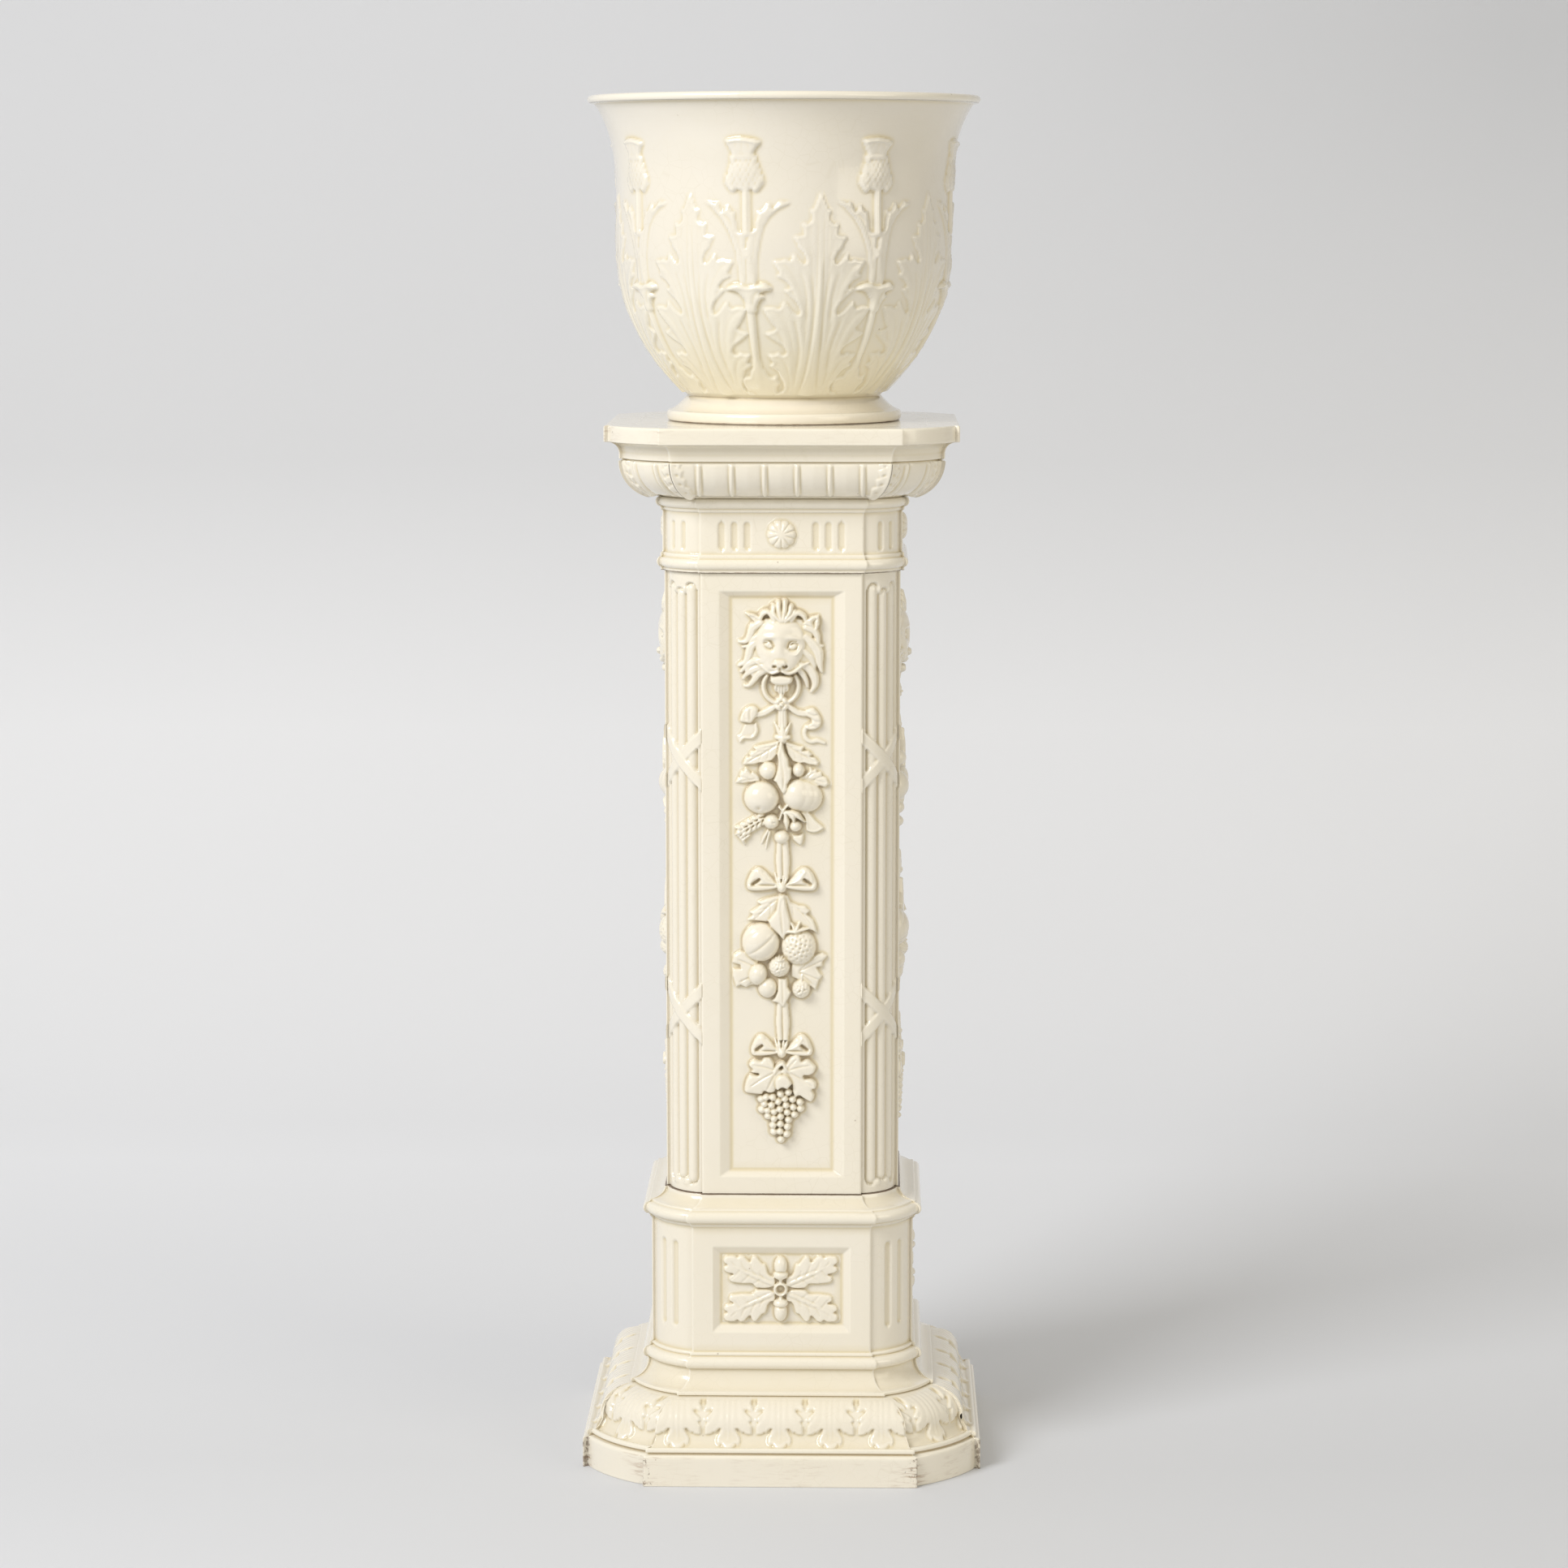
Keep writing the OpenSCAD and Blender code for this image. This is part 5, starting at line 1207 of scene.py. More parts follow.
def grape_festoon():
    """Bunch of grapes under vine leaves and a bow"""
    r = Relief(-42, 42, 276, 372, 0.55)
    grapes = [(-1, 320), (5.6, 321.5), (-13.1, 317), (-7.6, 317), (2.5, 316), (9.1, 315.4), (15.2, 312.9),
              (-17.2, 315.4), (-14.6, 311.4), (-8.6, 310.4), (-3, 313.4), (3.6, 310.4), (9.6, 308.6),
              (15.7, 307.3), (-16.6, 306.3), (-12, 305.8), (-6.5, 304.8), (-1.5, 307), (4.6, 304.3),
              (10.6, 302.3), (-11.6, 301), (-6.5, 298.7), (-1, 300.6), (5.6, 297.7), (-7.2, 293),
              (-1.2, 294.2), (4.6, 291.7), (-6.6, 287.4), (-1.4, 287.8), (4.1, 285.4), (-0.6, 280.8)]
    for x, y in grapes:
        r.ball(x, y, 3.5, 10.2 - 0.09 * abs(x) - 0.05 * (320 - y), soft=0.1)
    r.plate([(-5.5, 342.7), (-6.5, 346.7), (-9.6, 350.8), (-14.6, 351.3), (-17.7, 348.3), (-22.7, 349.3),
             (-26.7, 346.7), (-27.3, 343.7), (-24.7, 340.7), (-25.7, 338.1), (-19.7, 337.1), (-20.7, 336.1),
             (-26.7, 336.1), (-29.8, 331.6), (-31.3, 324.5), (-30.3, 321), (-24.7, 320), (-16.7, 319.5),
             (-14.6, 322), (-10.6, 320.5), (-6, 321.5), (-4.5, 324.5), (-2.5, 331.6), (2, 340)], 6.8,
            edge=1.6, swell=1.4)
    r.plate([(3.6, 345.7), (7.6, 351.8), (12.6, 353.6), (15.7, 351.8), (16.7, 348.3), (21.7, 349.8),
             (26.8, 345.7), (28.8, 342.7), (26.8, 337.6), (22.7, 335.6), (18.7, 335.6), (19.7, 333.1),
             (24.8, 333.1), (28.8, 329.6), (28.6, 324.5), (25.8, 323.5), (27.6, 318.4), (24.8, 313),
             (18.7, 315.9), (14.7, 318.4), (11.6, 316.9), (9.1, 321.5), (8.6, 327.5), (5.6, 333.6),
             (-1.5, 339)], 7, edge=1.6, swell=1.4)
    r.ridges([vein(4, 340, *tip, 0.8, [2, 2.2, 1.4], -0.8) for tip in ((25, 345), (13, 350.6), (27, 326),
                                                                       (13, 322))])
    r.plate([(-5.7, 333.6), (-1.5, 337), (3.6, 337), (7.8, 332.6), (8.8, 328.5), (4.6, 324.2), (0.5, 325.4),
             (-4, 323), (-5.8, 328.5)], 10.6, edge=2, swell=0.8, soft=0.1)
    r.stroke([(-6, 338), (-3, 344), (1, 346), (4, 341), (8, 337)], [3.6, 4.6, 4.6, 4, 2],
             [9, 10, 10, 9.6, 8], soft=0.3, groove=0.5, grooves=2)
    bow(r, 355, 26, 15.8)
    return r.soften(0.35)


# ---- Capital ----

def capital_section(s):
    neck_w, edge_r = s.frieze_w + 1.6, 1.6
    low_z, high_z = s.capital_z + s.capital_fillet_h - 0.6, s.frieze_top_z + s.capital_fillet_h
    rim = s.bowl_w - 1.2 * s.wall
    return Section({
        "neck": [(neck_w, s.capital_z)] + bead(neck_w, low_z, s.capital_bead_h, 3.2)
        + [(neck_w, s.neck_z - 0.7)],
        "frieze": [(s.frieze_w, s.neck_z), (s.frieze_w, s.frieze_top_z)],
        "upper_bead": [(neck_w, s.frieze_top_z + 0.7)] + bead(neck_w, high_z, s.capital_bead_h, 4),
        "bowl": [(neck_w + 0.4, s.bowl_z)]
        + quarter((neck_w + 0.4, s.bowl_z), (s.bowl_w, s.bowl_top_z), True, 24),
        "cornice": [(s.bowl_w - 1.5, s.bowl_top_z), (s.bowl_w - 1.5, s.bowl_top_z + 0.8),
                    (s.bowl_w + 1.2, s.bowl_top_z + 0.8), (s.bowl_w + 1.2, s.cavetto_z)]
        + quarter((s.bowl_w + 1.6, s.cavetto_z), (s.slab_w - 1.9, s.slab_z), False),
        "slab": [(s.slab_w, s.slab_z), (s.slab_w, s.stand_h - edge_r)]
        + quarter((s.slab_w, s.stand_h - edge_r), (s.slab_w - edge_r, s.stand_h), False),
        "top": [(s.slab_w - 4, s.stand_h), (rim, s.stand_h), (rim, s.stand_h - s.wall)],
        "inside": [(rim, s.bowl_top_z - s.wall / 4), (s.shaft_in + s.wall / 3, s.bowl_z + s.wall / 4),
                   (s.shaft_in, s.neck_z), (s.shaft_in, s.capital_z)],
    }, s.arris_r)


def bowl_carving(s, ribs, mitre, soft_ends=2.5):
    """Ribs with swelling tongues between them, and half a toothed leaf up each mitre. mitre(z) gives
    how far the mitre lies from the middle."""
    width = mitre(s.bowl_top_z) + 4
    r = Relief(-width, width, s.bowl_z - 1, s.bowl_top_z + 1)
    gx, gz = np.meshgrid(r.xs, r.ys)
    up = held((gz - s.bowl_z) / s.bowl_h)
    edge = mitre(gz)
    gap = np.min([np.abs(gx - rib) for rib in ribs], 0)
    body = held(np.minimum(up * s.bowl_h - 1.2, (1 - up) * s.bowl_h - 0.6) / soft_ends)
    swell = 1.5 * held(gap / (s.rib_pitch / 2)) ** 0.6
    ridge = 2.2 * held(1 - (gap / 1.9) ** 4)
    groove = 1.1 * bell(gap - 2.6, 0.8)
    h = 1 + np.maximum(swell - groove, ridge) * body ** 0.5
    # the leaf grows from a point at the bottom, and its teeth turn upwards
    inward = edge - np.abs(gx)
    phase = up * 4.2 + inward / 16
    tooth = (phase - np.floor(phase)) ** 0.9
    reach = 10 * (0.76 + 0.34 * tooth) * np.clip(up / 0.12, 0.4, 1)
    within = held((reach - inward) / 1.1)
    blade = 3.6 * np.sqrt(1 - (1 - within) ** 2) + 0.8 * bell(inward, 1.6)
    eye = np.exp(-(((phase - np.floor(phase) - 0.12) * 7.4) ** 2 + (inward - reach * 0.62) ** 2) / 1.6)
    h = np.maximum(h, np.where(inward < reach + 1, blade - 1.6 * eye * (up > 0.2), 0))
    r.h = h * held(np.minimum(up, 1 - up) * s.bowl_h / 0.8)
    return r.soften(0.4).glazed()


def build_capital(scene):
    s = Stand(scene)
    section, skin = capital_section(s), Skin()
    round_the_stand(skin, s, section.rows("neck", 4), seams=[s.capital_z])
    z0, z1 = s.neck_z + 2.9, s.neck_z + s.frieze_h - 7.2
    slots = [sign * (28.3 + 10.6 * i) for sign in (-1, 1) for i in range(3)]
    face_flutes = flutes(slots, z0, z1, 6.1, 1.8)
    corner_flutes = flutes([-6.2, 6.2], z0, z1, 5.2, 1.6)
    round_the_stand(skin, s, section.rows("frieze", 1.1), 4, 0.8, face_flutes.read, corner_flutes.read,
                    dense=[(24, 54, 0.8)])
    round_the_stand(skin, s, section.rows("upper_bead", 4))
    rows = section.rows("bowl", 0.85)
    lift = lambda z: np.interp(z, rows[:, 1], rows[:, 0])
    face_map = bowl_carving(s, [s.rib_pitch * i for i in (-2.5, -1.5, -0.5, 0.5, 1.5, 2.5)],
                            lambda z: s.face_share * lift(z))
    arc = lambda z: s.corner_half_angle(lift(z)) * s.corner_r(lift(z))
    corner_map = bowl_carving(s, [-12.8, 12.8], arc)

    def carved(relief):
        def shape(x, z):
            rise, wet = relief.read(x, z)
            fade = held((z - rows[0, 1]) / 0.3) * held((rows[-1, 1] - z) / 0.8)
            return (rise - 2.2) * fade, wet
        return shape

    round_the_stand(skin, s, rows, 0.95, 0.85, carved(face_map), carved(corner_map))
    round_the_stand(skin, s, section.rows("cornice", 4))
    round_the_stand(skin, s, section.rows("slab", 3), soil=0.55)
    top = section.rows("top", 10)
    round_the_stand(skin, s, top)
    round_the_stand(skin, s, section.rows("inside", 14), 40, 8)
    # closed plate over the hollow, above and below, from a little outside its rim to the middle
    rim = s.bowl_w - 1.2 * s.wall + 1.5
    for z, order in ((s.stand_h - 0.05, 1), (s.stand_h - s.wall + 0.05, -1)):
        plate = np.tile([[rim, z, 0, order, 0, 0]], (6, 1))
        round_the_stand(skin, s, plate, shrink=np.array([1, 0.98, 0.7, 0.45, 0.2, 0.002])[::order, None])
    skin.build(scene, "capital_glazed", "stand_cream_glaze", "capital", ["capital"], "stand_glaze")


def rosette(s):
    """Domed rosette of rounded petals"""
    mid = s.neck_z + s.frieze_h / 2 - 0.4
    r = Relief(-15, 15, mid - 15, mid + 15, 0.45)
    gx, gz = np.meshgrid(r.xs, r.ys - mid)
    far, turn = np.hypot(gx, gz), np.arctan2(gz, gx)
    petal = np.abs(np.cos(turn * s.rosette_petals / 2))
    rim = s.rosette_r - 0.9 * (1 - petal ** 0.5)
    dome = (1 - held(far / np.maximum(rim, 1)) ** 2.6) ** 0.5
    crease = 1.5 * (1 - petal) ** 2.2 * held((far - 1.6) / 4)
    r.h = np.maximum(4.8 * dome - crease * dome ** 0.5, 0)
    return r.soften(0.3)


# ---- Jardiniere ----

def pot_section(s):
    foot_r, lip_c, lip_z = s.foot_d / 2, s.lip_d / 2 - s.lip_r, s.jardiniere_h - s.lip_r
    floor_h = s.foot_hollow_h + s.pot_floor
    wall = np.linspace(0, s.body_h, 60)
    inner = [(s.pot_r(h) - s.pot_wall, s.foot_h + h) for h in wall[:1:-1] if s.foot_h + h > floor_h + 6]
    bend = (s.pot_r(floor_h + 6 - s.foot_h) - s.pot_wall, floor_h + 6)
    lift = lambda points: [(w, z + s.stand_h) for w, z in points]
    roll = [(lip_c + s.lip_r * cos(a), lip_z + s.lip_r * sin(a)) for a in np.radians(np.arange(-60, 151, 15))]
    hollow_w, hollow_z = foot_r - 3.6, s.foot_band_h + 0.6
    hollow = [(hollow_w - (hollow_w - s.waist_d / 2) * t ** 0.72,
               hollow_z + (s.foot_h - s.foot_band_h - 0.6) * t) for t in np.linspace(0.02, 1, 14)]
    return Section({
        "foot": lift([(foot_r - 1.5, 0)] + bead(foot_r - 2, 0.5, s.foot_band_h - 0.5, 2)
                     + [(foot_r - 3.8, s.foot_band_h + 0.4)] + hollow),
        "body": lift([(s.pot_r(h), s.foot_h + h) for h in wall[1:]]),
        "lip": lift(roll + inner[:6]),
        "inside": lift(inner[6:] + quarter(bend, (bend[0] - 12, floor_h), False) + [(1, floor_h)]),
        "under": lift([(1, s.foot_hollow_h), (foot_r - 16, s.foot_hollow_h), (foot_r - 13, 0)]),
    }, s.arris_r)


def thistle_spray():
    """Thistle on its stem, with a pair of toothed leaves and the sheath under them"""
    r = Relief(-46, 46, 18, 240, 0.6)
    # foot that spreads between the leaves beside it
    r.plate([(0, 52), (6, 46), (8, 42), (10.6, 39.6), (15.6, 41), (15.4, 38), (17, 35.4), (14, 32),
             (13, 28.5), (12, 20), (-10, 20), (-11, 28), (-12.4, 31), (-14, 36), (-12, 40), (-7, 40.4),
             (-5, 45.4)], 1.5, edge=1.2, curl=0.5)
    r.stroke([(1.3, 100), (1.2, 76), (0.8, 50), (0, 34)], [8, 6.8, 6, 12], [3.2, 3, 2.6, 1.6])
    r.ridge([(4.6, 96), (4.9, 76), (3.4, 52)], 1.8, -1.3)
    # pair of leaves that grow out of the sheath
    right = [(0, 158), (5, 158.6), (7, 161), (7, 166), (8.6, 171), (8.4, 176), (10.6, 173.8), (13.4, 175.4),
             (16, 179.6), (17.8, 182.4), (19, 177.8), (20.6, 176.2), (24, 178.8), (27.4, 183), (29, 181.4),
             (36, 182.2), (32, 179.6), (25, 176), (18, 169.6), (13.6, 163), (11, 155), (9, 145), (7.6, 135),
             (6.8, 117), (4, 104)]
    left = [(-37, 183.4), (-28.4, 181), (-25.6, 182.4), (-23, 177), (-21, 174), (-18.6, 176),
            (-17.4, 180.4), (-15.4, 177.6), (-13, 174.4), (-10.6, 173.8), (-10, 168), (-9.2, 161),
            (-7, 157.4)]
    outer = [(-6.8, 117), (-7.6, 130), (-9.4, 143), (-12, 151), (-16, 160), (-22, 169.4), (-30, 177.8)]
    r.leaf(right + [(-4, 104)] + outer + left, 1.9, curl=0.6)
    r.ridges([([(5, 122), (7, 146), (12.6, 164), (22, 174), (31, 180)], [5, 6, 6, 4, 2], -0.7),
              ([(2.8, 118), (2.9, 134), (0, 141)], 1.6, 0.9)])
    r.ridge([(-1.9, 117), (-1.9, 132), (-0.6, 139)], 1.6, -1.0)
    r.ridge([(-1.6, 144), (-0.6, 152), (0.2, 158)], 2.2, -1.5)
    r.stroke([(-1, 194), (-1, 176), (-0.6, 157)], 6.6, 3.2, soft=0.3)
    # flared collar, with a curled lip
    r.plate([(-19, 111.6), (-16, 114.6), (-9, 116.8), (0, 114.6), (7, 116), (13, 117.4), (19, 112.4),
             (13, 110.6), (9.4, 108.8), (13, 105.4), (9.4, 104), (6.4, 99), (5, 94), (-2.4, 94),
             (-3.6, 103), (-9.6, 110)], 3.4, edge=1.3, swell=0.8)
    r.ridge([(-17, 112), (-9, 115), (0, 112.8), (7, 114.4), (17, 113)], 2.6, 1.1)
    r.ridge([(-9, 111.4), (-4, 109), (-1, 99)], 3, -0.8)
    r.ridge([(10, 111.6), (5, 108), (3, 99)], 3, -0.9)
    # head: cup of florets over a bulb of pointed scales
    r.plate([(-17.4, 231.6), (-10, 233.2), (0, 233.2), (11.2, 230.4), (8.6, 226), (5.8, 221.6), (4.6, 216),
             (-11, 216), (-12, 221), (-14.6, 226)], 3.2, edge=1.5)
    for i in range(-4, 5):
        r.ridge([(-3 + 1.9 * i, 219), (-3 + 2.2 * i, 224), (-3.1 + 2.9 * i, 230.6)], 1.5, -0.5)
    r.ridge([(-16.6, 230.6), (-9, 232.2), (0, 232.2), (10.2, 229.4)], 2.4, 1.2)
    for x, y, w in ((-13, 219, 6), (-4.2, 221.6, 6.5), (7.4, 218.6, 6), (-17.4, 204, 9), (12.6, 204, 9),
                    (-14, 212, 8), (9, 213, 8)):
        foot_x = -2.4 + (x + 2.4) * 0.62
        r.stroke([(foot_x, y - w - 2), ((x + foot_x) / 2, y - w / 2 - 1), (x, y)], [w * 0.7, w, 0.9],
                 [3.4, 3.4, 2.8], soft=0.1)
    r.ball(-2.4, 204.4, 13.4, 4.6, ry=13.4, foot=1.6, soft=0.1)
    for i in range(-2, 4):
        r.ridges([([(5 * i - 12, 193), (4.6 * i - 4, 205), (4.4 * i + 3, 217)], 1.5, -0.8)], -2.4)
    return r.soften(0.5).glazed()


def acanthus_leaf():
    """Tall leaf of four tiers of pointed lobes, with folds flowing up from its foot"""
    r = Relief(-54, 54, 18, 200, 0.6)
    right = [(0, 190.4), (3.4, 181.5), (5.4, 176.4), (8.6, 175.8), (6.8, 170.5), (7.3, 166.8), (10.4, 164),
             (15.2, 165.4), (13.9, 160), (13.8, 155), (22.4, 154.4), (19, 149.6), (17.6, 145.6),
             (13.6, 141.4), (11.2, 136.4), (11.8, 133), (14, 132), (17.4, 134.8), (22.4, 141.4),
             (23.2, 136.2), (25, 134.2), (29, 136.2), (32.4, 134.8), (39, 135), (34.2, 128), (33, 125),
             (35.4, 122.6), (28, 119), (24, 115), (24, 112.8), (29, 111.6), (24, 107), (17.8, 101.4),
             (14.6, 95.8), (14.9, 92.2), (17, 91.2), (21, 94), (29, 102.8), (30.2, 98), (32.6, 95.8),
             (37.2, 97.6), (45.4, 97), (40, 88.5), (37, 84.6), (33, 80.6), (34.4, 78.6), (42, 76.2),
             (35.5, 71.6), (26.5, 66.4), (22.4, 61.8), (22.8, 59), (25.8, 58), (29, 60.4), (31.4, 59),
             (37.6, 58.8), (32, 52.6), (34.6, 49.4), (27, 45.6), (23, 39.6), (20, 35), (19, 31), (20, 28.2),
             (24.4, 27.2), (27, 20)]
    r.leaf(mirrored(right), 1.4, edge=0.9, curl=0.7, swell=-0.25)
    folds = [([(14, 131), (11, 121), (8, 108), (6.8, 92), (6.6, 60), (9, 26)], 3, 1.0),
             ([(16.4, 90), (13.4, 80), (10.8, 69), (9.6, 56), (11, 26)], 3, 1.0),
             ([(24.4, 57.4), (19, 50), (14.6, 38), (13, 26)], 2.8, 0.8),
             ([(5.4, 170), (5, 150), (4.2, 126), (3.4, 100)], 3.4, 0.45),
             ([(15, 153), (11.4, 140), (9, 126), (7, 112)], 3.2, 0.5),
             ([(36, 132), (28, 125), (20, 112), (15.6, 98), (12.6, 82)], 5, 0.8),
             ([(22, 138), (18, 128), (14, 116), (11.4, 100)], 3.4, 0.4),
             ([(43, 94.6), (33, 87), (25, 74), (19, 58), (15, 42)], 5, 0.8),
             ([(28, 99), (23, 88), (18, 74), (14.4, 58)], 3.4, 0.4),
             ([(35, 56.6), (27, 52), (20, 42), (16.6, 30)], 4, 0.6),
             ([(8.4, 128), (5.6, 110), (4.6, 90), (4.6, 60)], 2.8, -0.6),
             ([(17.6, 128), (13.6, 116), (10.4, 102), (9.2, 86)], 3, -0.7),
             ([(30, 119), (24, 112), (19.4, 102)], 3, -0.5),
             ([(20, 88), (16.2, 76), (13, 62), (12, 46)], 3, -0.7),
             ([(38, 83), (30, 74), (24, 62)], 3, -0.5)]
    for points, width, lift in folds:
        r.ridges([(points, width, 0.7 * lift)])
    # midrib that narrows upwards between two lines
    r.stroke([(0, 22), (0, 34), (0, 50), (0, 100), (0, 176)], [15, 9, 4.6, 2.6, 0.8],
             [2.4, 2.3, 2.3, 2.2, 1.8], soft=0.3)
    r.ridges([([(7.6, 22), (4.2, 36), (2.2, 52), (1.2, 100), (0.8, 140)], 1.5, 0.7)])
    return r.soften(0.5).glazed()


def build_jardiniere(scene):
    s = Stand(scene)
    section, skin = pot_section(s), Skin()
    spray, acanthus = thistle_spray(), acanthus_leaf()
    sector = 2 * pi / s.sprays

    def turn_round(rows, columns, carved=False, soil=0):
        r, z, out_r, out_z, pool = (rows[:, k:k + 1] for k in range(5))
        angle = np.linspace(0, 2 * pi, columns, endpoint=False)[None, :] - pi / 2
        rise, wet = 0 * r * angle, 0 * r * angle
        if carved:
            for relief, at in ((spray, radians(-11)), (acanthus, radians(13.4))):
                x = ((angle + pi / 2 - at + sector / 2) % sector - sector / 2) * r
                h, p = relief.read(x, z - s.stand_h + 0 * x)
                rise, wet = smooth_max(rise, h, 0.3), np.where(np.abs(p) > np.abs(wet), p, wet)
        reach = r + rise * out_r
        points = np.stack([reach * np.cos(angle), reach * np.sin(angle), z + rise * out_z], -1)
        skin.grid(points, np.clip(pool + wet, -1, 1), soil, sides=(0,), wrap=True)

    foot = section.rows("foot", 2.5)
    # painted shadow: a line round the bottom of the foot, where it stands on the slab
    turn_round(foot, 192, soil=5 * np.exp(-((foot[:, 1:2] - s.stand_h) / 0.9) ** 4))
    turn_round(section.rows("body", 1.5), 66 * s.sprays, carved=True)
    turn_round(section.rows("lip", 3), 192)
    turn_round(section.rows("inside", 10), 96)
    turn_round(section.rows("under", 6), 96)
    skin.build(scene, "jardiniere_glazed", "jardiniere_cream_glaze", "jardiniere", ["jardiniere"],
               "jardiniere_glaze")


# ---- Glaze ----

class Value:
    """Output of a node. Arithmetic on it adds Math nodes."""

    def __init__(self, shader, socket):
        self.shader, self.socket = shader, socket

    def math(self, operation, *others, clamp=False):
        return self.shader.node("ShaderNodeMath", {"operation": operation, "use_clamp": clamp},
                                [self, *others])

    def __add__(self, other):
        return self.math("ADD", other)

    def __sub__(self, other):
        return self.math("SUBTRACT", other)

    def __rsub__(self, other):
        return self.shader.node("ShaderNodeMath", {"operation": "SUBTRACT"}, [other, self])

    def __mul__(self, other):
        return self.math("MULTIPLY", other)

    def __pow__(self, other):
        return self.math("POWER", other)

    __radd__, __rmul__ = __add__, __mul__

    def clipped(self):
        return self.math("ADD", 0, clamp=True)


class Shader:
    """Material under construction"""

    def __init__(self, tree):
        self.tree = tree
        tree.nodes.clear()

    def node(self, kind, settings=None, inputs=(), output=0):
        node = self.tree.nodes.new(kind)
        for key, value in (settings or {}).items():
            if key == "stops":
                ramp = node.color_ramp
                while len(ramp.elements) < len(value):
                    ramp.elements.new(0.5)
                for element, (place, colour) in zip(ramp.elements, value):
                    element.position, element.color = place, colour
            else:
                setattr(node, key, value)
        for key, value in (inputs.items() if isinstance(inputs, dict) else enumerate(inputs)):
            if isinstance(value, Value):
                self.tree.links.new(value.socket, node.inputs[key])
            else:
                node.inputs[key].default_value = value
        return Value(self, node.outputs[output]) if node.outputs else None

    def mixed(self, factor, a, b, blend="MIX"):
        return self.node("ShaderNodeMix", {"data_type": "RGBA", "blend_type": blend},
                         {0: factor, 6: a, 7: b}, 2)

    def attribute(self, name):
        return self.node("ShaderNodeAttribute", {"attribute_name": name}, output="Fac")

    def noise(self, place, scale, detail=2.0, roughness=0.5):
        return self.node("ShaderNodeTexNoise", {}, {"Vector": place, "Scale": scale, "Detail": detail,
                                                    "Roughness": roughness})

    def span(self, value, low, high):
        """Value brought from low..high to 0..1, and held there"""
        return self.node("ShaderNodeMapRange", {}, {0: value, 1: low, 2: high})


def tone(colour, *shares):
    """Opaque colour, with its channels times three shares, or all times one"""
    shares = shares if len(shares) == 3 else 3 * (shares or (1,))
    return (*(c * k for c, k in zip(colour, shares)), 1)


